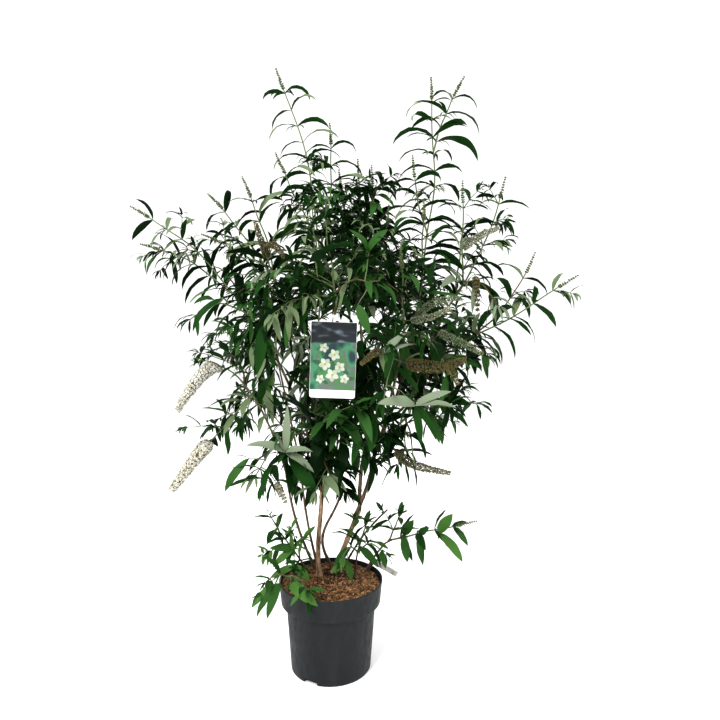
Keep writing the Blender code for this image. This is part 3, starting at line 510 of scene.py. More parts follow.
# Masses of foliage, as in the solids
MASSES = {
    "foliage_spire_left": Mass("bough_spire_left", 0.120, "sickle", (
        Shoot(0, (-0.158, 0.000, 1.808), (0.054, 0, 0), "bud"),
        Shoot(0.32, (-0.001, 0.020, 1.657), (0.018, 0, 0), "bud"),
        Shoot(0.34, (-0.157, -0.030, 1.556), (-0.014, 0, 0.02), "bud"),
        Shoot(0.12, (-0.040, -0.150, 1.400), (0, -0.02, 0)),
        Shoot(0.02, (-0.060, -0.090, 0.880), (0, -0.03, 0.03)),
    )),
    "foliage_upper_left": Mass("bough_upper_left", 0.135, "open", (
        Shoot(0, (-0.252, -0.050, 1.483), (0.010, 0, 0.02), "bud"),
        Shoot(0.18, (-0.364, 0.000, 1.444), (-0.010, 0, 0.03), "bud"),
        Shoot(0.10, (-0.372, -0.050, 1.317), (0, 0, 0.03), "bud"),
        Shoot(0.20, (-0.195, -0.160, 1.335), (0, -0.02, 0), "spent"),
        Shoot(0.02, (-0.150, -0.130, 0.930), (0, -0.02, 0.03)),
    )),
    "foliage_far_left": Mass("bough_far_left", 0.125, "open", (
        Shoot(0, (-0.597, 0.000, 1.408), (0, 0, 0.050), "bud"),
        Shoot(0.20, (-0.591, 0.060, 1.304), (0, 0, 0.030), "bud"),
        Shoot(0.06, (-0.410, -0.040, 1.070), (0, 0, 0.050)),
        Shoot(0.14, (-0.400, 0.190, 1.250), (0, 0, 0.030)),
    )),
    "foliage_low_left": Mass("bough_low_left", 0.145, "airy", (
        Shoot(0, (-0.436, -0.100, 0.807), (0, 0, 0.125), "white"),
        Shoot(0.10, (-0.451, -0.120, 0.580), (0, 0, 0.010), "fading"),
        Shoot(0.20, (-0.300, -0.100, 0.990), (0.02, 0, 0)),
        Shoot(0.12, (-0.340, 0.060, 0.740), (0, 0, 0.060)),
    )),
    "foliage_top": Mass("bough_top", 0.135, "arching", (
        Shoot(0, (0.083, 0.100, 1.574), (0.010, 0, 0), "bud"),
        Shoot(0.36, (0.025, 0.050, 1.529), (-0.012, 0, 0), "bud"),
        Shoot(0.30, (0.124, 0.020, 1.535), (0.016, 0, 0), "bud"),
        Shoot(0.10, (0.169, -0.130, 1.386), (0.02, 0, 0), "bud"),
        Shoot(0.02, (0.100, -0.060, 0.880), (0, -0.03, 0.03)),
    )),
    "foliage_spire_right": Mass("bough_spire_right", 0.120, "sickle", (
        Shoot(0, (0.299, 0.000, 1.783), (0.030, 0, 0), "bud"),
        Shoot(0.71, (0.398, 0.000, 1.785), (-0.010, 0, 0), "bud"),
        Shoot(0.38, (0.246, 0.000, 1.557), (-0.010, 0, 0), "bud"),
        Shoot(0.20, (0.265, -0.150, 1.400), (0, 0, 0), "bud"),
        Shoot(0.02, (0.250, -0.100, 0.880), (0, -0.02, 0.03)),
    )),
    "foliage_upper_right": Mass("bough_upper_right", 0.135, "open", (
        Shoot(0, (0.516, -0.030, 1.488), (0.018, 0, -0.02), "bud"),
        Shoot(0.22, (0.390, -0.030, 1.476), (0, 0, 0), "bud"),
        Shoot(0.12, (0.430, 0.190, 1.360), (0, 0, 0.02)),
        Shoot(0.06, (0.470, -0.130, 1.110), (0, 0, 0.070)),
    )),
    "foliage_right": Mass("bough_right", 0.135, "open", (
        Shoot(0, (0.709, -0.100, 1.195), (0, 0, -0.010), "bud"),
        Shoot(0.18, (0.592, -0.080, 1.262), (0.02, 0, -0.02), "bud"),
        Shoot(0.08, (0.460, -0.070, 0.970), (0, 0, 0.020)),
        Shoot(0.10, (0.460, 0.140, 1.080), (0, 0, 0.030)),
    )),
    "foliage_low_right": Mass("bough_low_right", 0.135, "broad", (
        Shoot(0, (0.420, -0.120, 0.830), (0, 0, 0.030)),
        Shoot(0.12, (0.374, -0.150, 0.958), (-0.03, 0, 0.050)),
        Shoot(0.08, (0.349, -0.120, 0.631), (-0.050, 0, -0.035), "", 0.40),
        Shoot(0.06, (0.230, -0.280, 0.700), (0, 0, 0.020)),
    )),
    "foliage_front_right": Mass("bough_front_right", 0.135, "broad", (
        Shoot(0, (0.190, -0.330, 1.250), (0, 0, 0.010), "bud"),
        Shoot(0.10, (0.350, -0.260, 1.120), (0, 0, 0.030), "green"),
        Shoot(0.05, (0.315, -0.330, 0.930), (0, 0, 0.040)),
        Shoot(0.04, (0.150, -0.320, 0.870), (0, 0, 0.040)),
    )),
    "foliage_front": Mass("bough_front", 0.135, "arching", (
        Shoot(0, (0.000, -0.330, 1.340)),
        Shoot(0.10, (0.120, -0.370, 1.150), (0, 0, 0.020)),
        Shoot(0.15, (-0.140, -0.350, 1.180), (0, 0, 0.020)),
        Shoot(0.05, (-0.185, -0.290, 1.000), (0, 0, 0.050)),
    )),
    "foliage_front_low": Mass("bough_front_low", 0.150, "broad", (
        Shoot(0, (-0.110, -0.270, 0.770), (0, 0, 0.020)),
        Shoot(0.06, (-0.190, -0.210, 0.650), (0, 0, 0.030)),
        Shoot(0.06, (0.010, -0.250, 0.660), (0, 0, 0.030)),
        Shoot(0.10, (0.100, -0.230, 0.830)),
    )),
    "foliage_back_left": Mass("bough_back_left", 0.145, "arching", (
        Shoot(0, (-0.270, 0.340, 1.290), (0, 0, 0.020), "bud"),
        Shoot(0.16, (-0.420, 0.280, 1.020), (0, 0, 0.030)),
        Shoot(0.12, (-0.140, 0.420, 1.040), (0, 0, 0.030)),
        Shoot(0.04, (-0.310, 0.220, 0.720), (0, 0, 0.060)),
    )),
    "foliage_back_top": Mass("bough_back_top", 0.140, "arching", (
        Shoot(0, (0.030, 0.270, 1.530), (0, 0, 0), "bud"),
        Shoot(0.12, (-0.130, 0.250, 1.420), (0, 0, 0.010), "bud"),
        Shoot(0.12, (0.200, 0.290, 1.420), (0, 0, 0.010), "bud"),
        Shoot(0.06, (0.050, 0.430, 1.270), (0, 0, 0.030)),
    )),
    "foliage_back_right": Mass("bough_back_right", 0.145, "arching", (
        Shoot(0, (0.320, 0.340, 1.290), (0, 0, 0.020), "bud"),
        Shoot(0.16, (0.460, 0.270, 1.030), (0, 0, 0.030)),
        Shoot(0.12, (0.170, 0.440, 1.020), (0, 0, 0.030)),
        Shoot(0.04, (0.340, 0.210, 0.730), (0, 0, 0.060)),
    )),
    "foliage_back_low": Mass("bough_back_low", 0.150, "broad", (
        Shoot(0, (0.020, 0.400, 0.840), (0, 0, 0.020)),
        Shoot(0.08, (-0.150, 0.310, 0.670), (0, 0, 0.030)),
        Shoot(0.08, (0.190, 0.320, 0.660), (0, 0, 0.030)),
        Shoot(0.06, (0.050, 0.180, 0.930), (0, 0.02, 0)),
    )),
    "leaves_low_right": Mass("stem_low_right", 0.095, "basal", (
        Shoot(0, (0.449, -0.010, 0.455), (0, 0, 0), "bud"),
        Shoot(0.02, (0.215, 0.010, 0.470)),
    )),
    "leaves_low_middle": Mass("stem_low_middle", 0.095, "basal", (
        Shoot(0, (0.110, -0.010, 0.450)),
        Shoot(0.05, (0.165, -0.050, 0.365), (0, 0, 0.03)),
        Shoot(0.05, (0.030, -0.060, 0.345), (0, 0, 0.03)),
    )),
    "leaves_low_left": Mass("stem_low_left", 0.085, "basal", (
        Shoot(0, (-0.186, 0.000, 0.470), (-0.005, 0, 0)),
        Shoot(0.04, (-0.190, -0.010, 0.350), (0, 0, 0.02)),
        Shoot(0.04, (-0.080, -0.020, 0.400)),
    )),
    "leaves_low_front": Mass("stem_low_front", 0.085, "basal", (
        Shoot(0, (-0.185, -0.100, 0.300), (0, 0, 0.02)),
        Shoot(0.08, (-0.060, -0.150, 0.300), (0, 0, 0.02)),
    )),
}

# Labels, as in the solids
LABELS = {
    "tag": Label("bough_front", 0.90, (0.119, 0.198), 0.016, 0.006, -2.0, False),
    "slip": Label("cut_stub", 0.42, (0.017, 0.078), 0.010, 0.001, 60, True),
}

# Twigs that show in the photograph, each from a shoot of its mass
SPRIGS = {
    "foliage_spire_left": (
        leafy(4, 0.40, (-0.005, -0.120, 0.910)),
        leafy(4, 0.30, (-0.080, 0.060, 0.900)),
        leafy(4, 0.95, (-0.030, -0.120, 0.770)),
        leafy(4, 0.60, (-0.080, -0.040, 0.790)),
        leafy(4, 0.80, (0.005, -0.060, 0.750)),
    ),
    "foliage_top": (
        leafy(4, 0.40, (0.050, 0.010, 0.890)),
        leafy(4, 0.30, (0.150, 0.030, 0.900)),
        leafy(4, 0.60, (0.140, -0.120, 0.850)),
        leafy(4, 0.95, (0.060, -0.110, 0.760)),
        leafy(4, 0.75, (0.030, -0.020, 0.770)),
        Sprig(4, 0.95, (0.349, -0.120, 0.631), (-0.045, 0, -0.065), "straw"),
    ),
    "foliage_back_low": (
        leafy(3, 0.50, (-0.040, 0.170, 0.900)),
        leafy(3, 0.40, (0.110, 0.160, 0.870)),
    ),
    "foliage_upper_left": (
        Sprig(3, 0.55, (-0.108, -0.165, 1.215), (0, 0, 0.030), "spent"),
    ),
    "foliage_far_left": (
        Sprig(2, 0.60, (-0.309, -0.050, 1.130), blades=(
            Blade((-0.078, -0.01, -0.102), 0.024, 1.3, "dark"),)),
    ),
    "foliage_upper_right": (
        Sprig(1, 0.35, (0.494, -0.050, 1.334), (0, 0, 0.010), "pale"),
        Sprig(3, 0.30, (0.418, -0.130, 1.090), (0.010, 0, 0.070), "spent"),
    ),
    "foliage_front": (
        Sprig(1, 0.80, (0.112, -0.340, 1.228), blades=(
            Blade((-0.050, -0.02, 0.050), 0.022, 0.9, "middle"),
            Blade((0.046, -0.02, 0.050), 0.022, 0.9, "middle"))),
        Sprig(2, 0.95, (-0.145, -0.330, 1.055), blades=(
            Blade((-0.015, -0.02, -0.125), 0.030, 0.5, "dark"),)),
        Sprig(1, 0.95, (0.085, -0.375, 1.101), blades=(
            Blade((0.028, -0.005, -0.070), 0.024, 0.7, "middle"),)),
        leafy(2, 0.50, (-0.040, -0.300, 1.140)),
        leafy(1, 0.45, (0.035, -0.310, 1.125)),
        leafy(0, 0.25, (-0.005, -0.270, 1.190)),
        leafy(2, 0.30, (-0.090, -0.280, 1.160)),
        leafy(3, 0.40, (-0.120, -0.230, 1.060)),
        leafy(3, 0.70, (-0.205, -0.230, 1.040)),
        leafy(3, 0.85, (-0.150, -0.250, 0.960)),
    ),
    "foliage_front_right": (
        Sprig(3, 0.60, (0.352, -0.330, 0.967), (0, 0, -0.020), "brown"),
        Sprig(3, 0.30, (0.092, -0.352, 0.958), (0, 0, 0.008), "short"),
        Sprig(1, 0.15, (0.412, -0.240, 0.976), (0, 0, 0.004), "green"),
        Sprig(0, 0.20, (0.311, -0.330, 1.095), (0, 0, -0.010), "young"),
        Sprig(2, 0.88, (0.335, -0.320, 0.904), (0, 0, 0.006), "spent"),
        Sprig(3, 0.88, (0.226, -0.335, 0.854), (0, 0, 0.010), blades=(
            Blade((0.088, -0.01, 0.035), 0.020, 0.9, "felted"),
            Blade((0.099, -0.02, -0.006), 0.020, 1.3, "felted"),
            Blade((-0.094, -0.01, 0.004), 0.030, 1.2, "felted"),
            Blade((0.013, -0.02, -0.091), 0.020, 0.5, "dark"),
            Blade((0.050, -0.01, -0.085), 0.020, 0.7, "dark"))),
        Sprig(3, 0.20, (0.148, -0.352, 0.985), blades=(
            Blade((0.052, -0.01, 0.047), 0.020, 0.5, "felted"),
            Blade((0.080, -0.01, 0.020), 0.018, 0.8, "felted"))),
    ),
    "foliage_front_low": (
        Sprig(0, 0.85, (-0.099, -0.290, 0.728), blades=(
            Blade((0.006, -0.01, 0.123), 0.020, 0.2, "felted"),
            Blade((-0.100, -0.01, 0.017), 0.024, 1.5, "felted"),
            Blade((0.072, -0.01, -0.051), 0.024, 0.9, "felted"),
            Blade((0.072, -0.02, 0.004), 0.020, 1.6, "felted"),
            Blade((0.028, 0.01, 0.064), 0.016, 0.4, "fresh"),
            Blade((-0.045, -0.01, 0.070), 0.018, 0.6, "felted"))),
        Sprig(0, 0.70, (-0.102, -0.275, 0.733), blades=(
            Blade((-0.041, -0.01, -0.133), 0.040, 0.5, "dark"),)),
        Sprig(0, 0.75, (-0.096, -0.265, 0.712), blades=(
            Blade((0.071, -0.01, -0.098), 0.038, 0.6, "dark"),)),
        Sprig(1, 0.90, (-0.108, -0.225, 0.576), (0, 0, 0.020), "little"),
        Sprig(1, 0.80, (-0.212, -0.190, 0.690), blades=(
            Blade((-0.063, -0.01, -0.090), 0.025, 0.8, "middle"),)),
        leafy(3, 0.60, (0.130, -0.200, 0.740), 0.13),
        leafy(3, 0.90, (0.170, -0.220, 0.780), 0.13),
        leafy(2, 0.70, (0.050, -0.200, 0.600)),
        leafy(3, 0.35, (0.020, -0.190, 0.700)),
        leafy(3, 0.20, (-0.030, -0.170, 0.680)),
    ),
    "leaves_low_right": (
        Sprig(0, 0.10, (0.226, 0.030, 0.395), blades=(
            Blade((0.031, -0.01, 0.053), 0.030, 0.3, "middle"),
            Blade((0.011, -0.02, -0.077), 0.028, 0.5, "middle"))),
        Sprig(0, 0.30, (0.274, 0.020, 0.404), blades=(
            Blade((0.028, -0.02, 0.022), 0.026, 0.6, "middle"),
            Blade((0.011, -0.01, -0.095), 0.026, 0.4, "middle"))),
        Sprig(0, 0.56, (0.335, 0.010, 0.410), blades=(
            Blade((0.040, -0.01, 0.064), 0.034, 0.3, "fresh"),
            Blade((0.068, -0.02, -0.084), 0.028, 0.9, "fresh"))),
        Sprig(0, 0.72, (0.377, 0.000, 0.432), blades=(
            Blade((0.041, -0.02, -0.052), 0.022, 0.9, "middle"),
            Blade((0.028, -0.01, 0.013), 0.008, 0.4, "fresh"))),
    ),
    "leaves_low_middle": (
        Sprig(0, 0.30, (0.086, 0.000, 0.372), blades=(
            Blade((-0.013, -0.01, 0.036), 0.018, 0.3, "fresh"),
            Blade((0.004, -0.01, -0.120), 0.030, 0.4, "middle"),
            Blade((0.060, -0.02, -0.060), 0.026, 0.9, "middle"))),
        Sprig(2, 0.60, (0.052, -0.010, 0.330), blades=(
            Blade((0.013, -0.01, -0.057), 0.022, 0.4, "fresh"),
            Blade((-0.045, -0.02, -0.030), 0.020, 0.9, "fresh"))),
    ),
    "leaves_low_left": (
        Sprig(1, 0.10, (-0.116, 0.000, 0.362), blades=(
            Blade((-0.072, -0.01, 0.007), 0.022, 0.9, "middle"),
            Blade((-0.055, -0.02, -0.045), 0.024, 0.8, "fresh"),
            Blade((-0.019, -0.01, -0.050), 0.018, 0.5, "middle"),
            Blade((-0.005, -0.01, 0.060), 0.016, 0.3, "fresh"),
            Blade((0.051, -0.01, 0.052), 0.020, 0.5, "fresh"))),
        Sprig(2, 0.30, (-0.110, -0.020, 0.318), blades=(
            Blade((-0.071, -0.03, -0.026), 0.022, 0.9, "fresh"),
            Blade((0.051, -0.03, -0.038), 0.030, 0.8, "fresh"))),
    ),
    "leaves_low_front": (
        Sprig(0, 0.35, (-0.144, -0.100, 0.300), blades=(
            Blade((-0.080, -0.01, -0.070), 0.024, 1.2, "fresh"),
            Blade((-0.060, -0.03, -0.088), 0.024, 1.2, "middle"),
            Blade((-0.028, -0.06, -0.077), 0.026, 1.2, "middle"))),
        Sprig(1, 0.20, (-0.113, -0.105, 0.300), blades=(
            Blade((0.085, -0.05, -0.044), 0.036, 1.3, "fresh"),)),
    ),
}

# Plain colours, dealt out by spray or chip; the bark's follow the depth of its relief, with painted shade
# in the cracks and painted highlight on the ridges
TOPS = {
    "deep": (0.0022, 0.0130, 0.0018),
    "dark": (0.0090, 0.0400, 0.0060),
    "middle": (0.0270, 0.0780, 0.0170),
    "fresh": (0.0520, 0.1250, 0.0260),
    "grey": (0.1080, 0.1450, 0.0760),
    "felted": (0.1500, 0.1850, 0.1250),
}
UNDERS = {
    "pale": (0.230, 0.280, 0.190),
    "dull": (0.085, 0.130, 0.060),
}
TWIGS = {
    "green": (0.085, 0.115, 0.045),
    "red": (0.085, 0.055, 0.030),
}
FLOWERS = {
    "petal": (0.540, 0.530, 0.475),
    "cream": (0.400, 0.380, 0.270),
    "rust": (0.125, 0.078, 0.022),
    "husk": (0.045, 0.036, 0.014),
    "olive": (0.110, 0.112, 0.030),
    "straw": (0.180, 0.165, 0.085),
    "bud": (0.080, 0.120, 0.045),
    "felt": (0.200, 0.235, 0.155),
}
# Each bark's colours run middle, darker, darkest, lightest: the darkest is painted shade in the cracks, the
# lightest painted highlight on the ridges
BARKS = {
    "tan": ((0.270, 0.180, 0.105), (0.200, 0.125, 0.070), (0.100, 0.062, 0.036), (0.350, 0.260, 0.170)),
    "brown": ((0.100, 0.070, 0.042), (0.072, 0.050, 0.030), (0.042, 0.030, 0.019), (0.150, 0.115, 0.075)),
}
CHIP_COLOURS = ((0.350, 0.205, 0.105), (0.210, 0.108, 0.046), (0.110, 0.055, 0.024), (0.045, 0.024, 0.012),
                (0.012, 0.008, 0.006))
LEAF_ORDER = tuple(TOPS)
UNDER_ORDER = tuple(UNDERS)
TWIG_ORDER = tuple(TWIGS)
FLOWER_ORDER = tuple(FLOWERS)

# How rough and how grained each kind of surface is
FINISHES = {
    "leaf": Finish(0.50, 0.05, 0.00, 260, (1, 1, 1), 2, 0.5, 0.0006),
    "underside": Finish(0.80, 0.05, 0.05, 260, (1, 1, 1), 2, 0.5, 0.0006),
    "twig": Finish(0.60, 0.30, 0.00, 240, (1, 1, 0.2), 2, 0.4, 0.0004),
    "flower": Finish(0.70, 0.20, 0.10, 600, (1, 1, 1), 1, 0.3, 0.0003),
    "bark": Finish(0.80, 0.25, 0.00, 420, (1, 1, 0.08), 3, 0.7, 0.0006),
    "chip": Finish(0.90, 0.20, 0.00, 700, (1, 0.2, 1), 2, 0.6, 0.0004),
}


def unit(vector):
    """A vector, or each row of an array of vectors, at length 1."""
    vector = np.asarray(vector, dtype=float)
    return vector / np.maximum(np.linalg.norm(vector, axis=-1, keepdims=True), 1e-9)


def turned(vector, axis, angle):
    """A vector turned about an axis of length 1."""
    cos, sin = math.cos(angle), math.sin(angle)
    return vector * cos + np.cross(axis, vector) * sin + axis * np.dot(axis, vector) * (1 - cos)


def circle(sides):
    """Cosine and sine of evenly spaced angles."""
    angles = [2 * math.pi * i / sides for i in range(sides)]
    return [(math.cos(angle), math.sin(angle)) for angle in angles]


def fan(tip, first, sides, backwards=False):
    """Triangles from a tip to each side of a ring of points."""
    pairs = [(first + i, first + (i + 1) % sides) for i in range(sides)]
    return [(tip, b, a) if backwards else (tip, a, b) for a, b in pairs]


def linked(name, data):
    """A new object in the scene."""
    obj = bpy.data.objects.new(name, data)
    bpy.context.scene.collection.objects.link(obj)
    return obj


def new_object(name, verts, faces, materials=(), slots=()):
    """A mesh object of given points and faces."""
    mesh = bpy.data.meshes.new(name)
    mesh.from_pydata(verts, [], faces)
    if slots:
        mesh.polygons.foreach_set("material_index", slots)
    mesh.validate()
    for mat in materials:
        mesh.materials.append(mat)
    return linked(name, mesh)


def smooth(mesh, sharp):
    """Smooth shading, but for edges sharper than the angle."""
    mesh.shade_smooth()
    mesh.set_sharp_from_angle(angle=math.radians(sharp))


def across(direction):
    """A level direction across another one, or across it towards +X where it runs along Y."""
    side = np.cross(direction, AWAY)
    if np.linalg.norm(side) < NEARLY_AWAY:
        side = np.cross(direction, UP)
    return unit(side)


def curve_points(start, tip, bow, sway, ts):
    """Points of a straight line from start to tip, moved sideways by its bow and its sway."""
    ts = np.asarray(ts, dtype=float)[:, None]
    start, tip = np.asarray(start), np.asarray(tip)
    bend = np.asarray(bow) * np.sin(math.pi * ts) + np.asarray(sway) * np.sin(2 * math.pi * ts)
    return start + (tip - start) * ts + bend


class Material:
    """A new material and short ways to set and link its shader."""

    def __init__(self, name, roughness, colour=None):
        self.mat = bpy.data.materials.new(name)
        self.mat.use_nodes = True
        self.nodes = self.mat.node_tree.nodes
        self.shader = self.nodes["Principled BSDF"]
        self.set("Roughness", roughness)
        if colour:
            self.set("Base Color", (*colour, 1))

    def set(self, socket, value):
        self.shader.inputs[socket].default_value = value

    def link(self, output, target):
        self.mat.node_tree.links.new(output, target)

    def speckle(self, scale, stretch=(1, 1, 1), **settings):
        """Noise in the object's own space, with its vectors stretched."""
        place = self.nodes.new("ShaderNodeTexCoord")
        mapping = self.nodes.new("ShaderNodeMapping")
        mapping.inputs["Scale"].default_value = stretch
        self.link(place.outputs["Object"], mapping.inputs["Vector"])
        node = self.nodes.new("ShaderNodeTexNoise")
        node.inputs["Scale"].default_value = scale
        for socket, value in settings.items():
            node.inputs[socket.replace("_", " ")].default_value = value
        self.link(mapping.outputs["Vector"], node.inputs["Vector"])
        return node

    def ramp(self, factor, stops):
        """A colour ramp of positions and colours."""
        node = self.nodes.new("ShaderNodeValToRGB")
        while len(node.color_ramp.elements) < len(stops):
            node.color_ramp.elements.new(0.5)
        for element, (position, colour) in zip(node.color_ramp.elements, stops):
            element.position = position
            element.color = (*colour, 1)
        self.link(factor, node.inputs["Fac"])
        return node.outputs["Color"]

    def bump(self, height, strength, distance):
        node = self.nodes.new("ShaderNodeBump")
        node.inputs["Strength"].default_value = strength
        node.inputs["Distance"].default_value = distance
        self.link(height, node.inputs["Height"])
        self.link(node.outputs["Normal"], self.shader.inputs["Normal"])


def plain_material(kind, name, colour):
    """A plain colour with the grain of its kind."""
    finish = FINISHES[kind]
    made = Material(kind + "_" + name, finish.roughness, colour)
    made.set("Specular IOR Level", finish.specular)
    made.set("Sheen Weight", finish.sheen)
    grain = made.speckle(finish.scale, finish.stretch, Detail=finish.detail)
    made.bump(grain.outputs["Fac"], finish.strength, finish.depth)
    return made.mat


def soil_material():
    """Dark wet soil between the chips."""
    made = Material("soil", 0.95)
    made.set("Specular IOR Level", 0.2)
    crumbs = made.speckle(220, Detail=6.0)
    colour = made.ramp(crumbs.outputs["Fac"], ((0.3, (0.012, 0.007, 0.005)), (0.7, (0.110, 0.050, 0.022))))
    made.link(colour, made.shader.inputs["Base Color"])
    made.bump(crumbs.outputs["Fac"], 1.0, 0.003)
    return made.mat


def pot_material():
    """Matte moulded plastic with faint upright streaks and scuffs."""
    made = Material("pot_plastic", 0.5)
    made.set("Specular IOR Level", 0.2)
    streaks = made.speckle(16, (1, 1, 0.14), Detail=4.0, Roughness=0.6)
    stops = (
        (0.25, (0.0080, 0.0095, 0.0105)),
        (0.55, (0.0120, 0.0140, 0.0150)),
        (0.80, (0.0200, 0.0225, 0.0235)),
    )
    colour = made.ramp(streaks.outputs["Fac"], stops)
    made.link(colour, made.shader.inputs["Base Color"])
    scuffs = made.speckle(70, (1, 1, 0.5), Detail=5.0)
    rough = made.ramp(scuffs.outputs["Fac"], ((0.3, (0.42, 0.42, 0.42)), (0.75, (0.68, 0.68, 0.68))))
    made.link(rough, made.shader.inputs["Roughness"])
    grain = made.speckle(500, Detail=3.0)
    made.bump(grain.outputs["Fac"], 0.25, 0.0003)
    return made.mat


class Pile:
    """The points, faces and colours of one joined piece as it grows."""

    def __init__(self):
        self.points = []
        self.quads = []
        self.tris = []
        self.quad_slots = []
        self.tri_slots = []
        self.count = 0

    def add(self, points, quads=(), quad_slots=(), tris=(), tri_slots=()):
        points = np.asarray(points, dtype=float).reshape(-1, 3)
        if len(quads):
            self.quads.append(np.asarray(quads).reshape(-1, 4) + self.count)
            self.quad_slots.append(np.broadcast_to(quad_slots, len(self.quads[-1])))
        if len(tris):
            self.tris.append(np.asarray(tris).reshape(-1, 3) + self.count)
            self.tri_slots.append(np.broadcast_to(tri_slots, len(self.tris[-1])))
        self.points.append(points)
        self.count += len(points)

    def build(self, name, materials, sharp=55):
        """The pile as one mesh object, smooth but for edges sharper than the angle."""
        quads = np.concatenate(self.quads) if self.quads else np.zeros((0, 4), int)
        tris = np.concatenate(self.tris) if self.tris else np.zeros((0, 3), int)
        slots = np.concatenate(self.quad_slots + self.tri_slots)
        sizes = np.concatenate((np.full(len(quads), 4), np.full(len(tris), 3)))
        corners = np.concatenate((quads.ravel(), tris.ravel()))
        mesh = bpy.data.meshes.new(name)
        mesh.vertices.add(self.count)
        mesh.vertices.foreach_set("co", np.concatenate(self.points).ravel())
        mesh.loops.add(len(corners))
        mesh.loops.foreach_set("vertex_index", corners)
        mesh.polygons.add(len(sizes))
        mesh.polygons.foreach_set("loop_start", np.concatenate(((0,), np.cumsum(sizes)[:-1])))
        mesh.polygons.foreach_set("material_index", slots)
        mesh.update(calc_edges=True)
        mesh.validate()
        smooth(mesh, sharp)
        for mat in materials:
            mesh.materials.append(mat)
        return linked(name, mesh)


def keep(obj, slot, *nodes):
    """Ride a finished piece on the plant and hide the solids that it stands for; the finish's name in slot
    is not used.
    """
    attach(obj, "root")
    if nodes:
        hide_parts(*nodes)
    return obj


def ring_faces(rings, sides):
    """Quads between rings of points, one ring after another."""
    faces = []
    for ring in range(rings - 1):
        low = ring * sides
        for i in range(sides):
            j = (i + 1) % sides
            faces.append((low + i, low + j, low + sides + j, low + sides + i))
    return faces


def frames(points):
    """At each point of a path, its direction and two directions across it that don't spin."""
    points = np.asarray(points)
    tangents = unit(np.gradient(points, axis=0))
    side = across(tangents[0])
    sides = []
    for tangent in tangents:
        side = unit(side - tangent * np.dot(side, tangent))
        sides.append(side)
    sides = np.array(sides)
    return tangents, sides, np.cross(tangents, sides)


def add_tube(pile, points, radii, sides, slot):
    """A closed tapering tube along the points."""
    _, one, other = frames(points)
    angles = 2 * math.pi * np.arange(sides) / sides
    radii = np.asarray(radii)[:, None, None]
    ring = one[:, None] * np.cos(angles)[None, :, None] + other[:, None] * np.sin(angles)[None, :, None]
    verts = np.asarray(points)[:, None] + ring * radii
    count = len(points)
    verts = np.concatenate((verts.reshape(-1, 3), [points[0], points[-1]]))
    end = count * sides
    tris = fan(end, 0, sides, True) + fan(end + 1, end - sides, sides)
    pile.add(verts, ring_faces(count, sides), slot, tris, slot)


def scatter(pile, shape, places, ways, sizes, spins, slots):
    """Copies of a small shape: its z along each way, turned by its spin, at its size."""
    verts, tris = shape
    ways = unit(ways)
    helper = np.where(np.abs(ways[:, 2:3]) < 0.9, UP, AWAY)
    one = unit(np.cross(helper, ways))
    other = np.cross(ways, one)
    cos, sin = np.cos(spins)[:, None], np.sin(spins)[:, None]
    first = one * cos + other * sin
    second = other * cos - one * sin
    sizes = np.asarray(sizes, dtype=float)
    if sizes.ndim == 1:
        sizes = np.repeat(sizes[:, None], 3, axis=1)
    scaled = verts[None] * sizes[:, None, :]
    points = (
        places[:, None]
        + scaled[:, :, 0:1] * first[:, None]
        + scaled[:, :, 1:2] * second[:, None]
        + scaled[:, :, 2:3] * ways[:, None]
    )
    offsets = (np.arange(len(places)) * len(verts))[:, None, None]
    pile.add(points, tris=np.asarray(tris)[None] + offsets, tri_slots=np.repeat(slots, len(tris)))


def floret_shape():
    """A small flower: a short tube that opens into four lobes."""
    verts = [(0, 0, 0.0), (0, 0, -1.5)]
    for i, (cos, sin) in enumerate(circle(8)):
        reach, height = (0.5, 0.12) if i % 2 else (1.0, 0.25)
        verts.append((reach * cos, reach * sin, height))
    return np.array(verts), fan(0, 2, 8) + fan(1, 2, 8, True)


def capsule_shape():
    """A bud or seed capsule: a small spindle."""
    verts = [(0, 0, 1.0), (0, 0, -0.4)] + [(0.42 * cos, 0.42 * sin, 0.2) for cos, sin in circle(5)]
    return np.array(verts), fan(0, 2, 5) + fan(1, 2, 5, True)


def chip_shape():
    """A chip of bark: a slightly bent splinter, one end narrower."""
    verts = []
    for x, wide, lift in ((-0.5, 0.30, 0.00), (0.05, 0.50, 0.22), (0.5, 0.16, 0.00)):
        for y, z in ((-1, 0), (1, 0), (1, 1), (-1, 1)):
            verts.append((x, y * wide, (z - 0.5) * 0.5 + lift))
    tris = [(0, 1, 2), (0, 2, 3), (8, 10, 9), (8, 11, 10)]
    for low in (0, 4):
        for i in range(4):
            j = (i + 1) % 4
            tris += [(low + i, low + 4 + i, low + 4 + j), (low + i, low + 4 + j, low + j)]
    return np.array(verts), tris


FLORET = floret_shape()
CAPSULE = capsule_shape()
CHIP = chip_shape()


class Path:
    """A shoot's or twig's centre line, with slight waving bends along it."""

    def __init__(self, start, tip, bow, wobble, draw):
        length = np.linalg.norm(np.asarray(tip) - np.asarray(start))
        steps = max(4, round(length / TWIG_STEP))
        self.ts = np.linspace(0, 1, steps + 1)
        self.points = curve_points(start, tip, bow, (0, 0, 0), self.ts)
        along = unit(np.asarray(tip) - np.asarray(start))
        one = across(along)
        other = np.cross(along, one)
        fade = np.sin(math.pi * self.ts)
        for side in (one, other):
            phase = draw.uniform(0, 2 * math.pi)
            waves = draw.uniform(*BENDS)
            bend = np.sin(phase + 2 * math.pi * waves * self.ts) * fade * wobble * length
            self.points += side * bend[:, None]
        self.length = length

    def at(self, t):
        """The point and the direction at a fraction of the path."""
        ahead = self.spots(min(t + PATH_STEP, 1))
        behind = self.spots(max(t - PATH_STEP, 0))
        return self.spots(t), unit(ahead - behind)

    def spots(self, ts):
        """The points at one or more fractions of the path."""
        return np.stack([np.interp(ts, self.ts, self.points[:, k]) for k in range(3)], axis=-1)

    def stretch(self, first, last):
        """The path's points between two fractions."""
        inner = self.ts[(self.ts > first + PATH_SLACK) & (self.ts < last - PATH_SLACK)]
        return self.spots(np.concatenate(((first,), inner, (last,))))


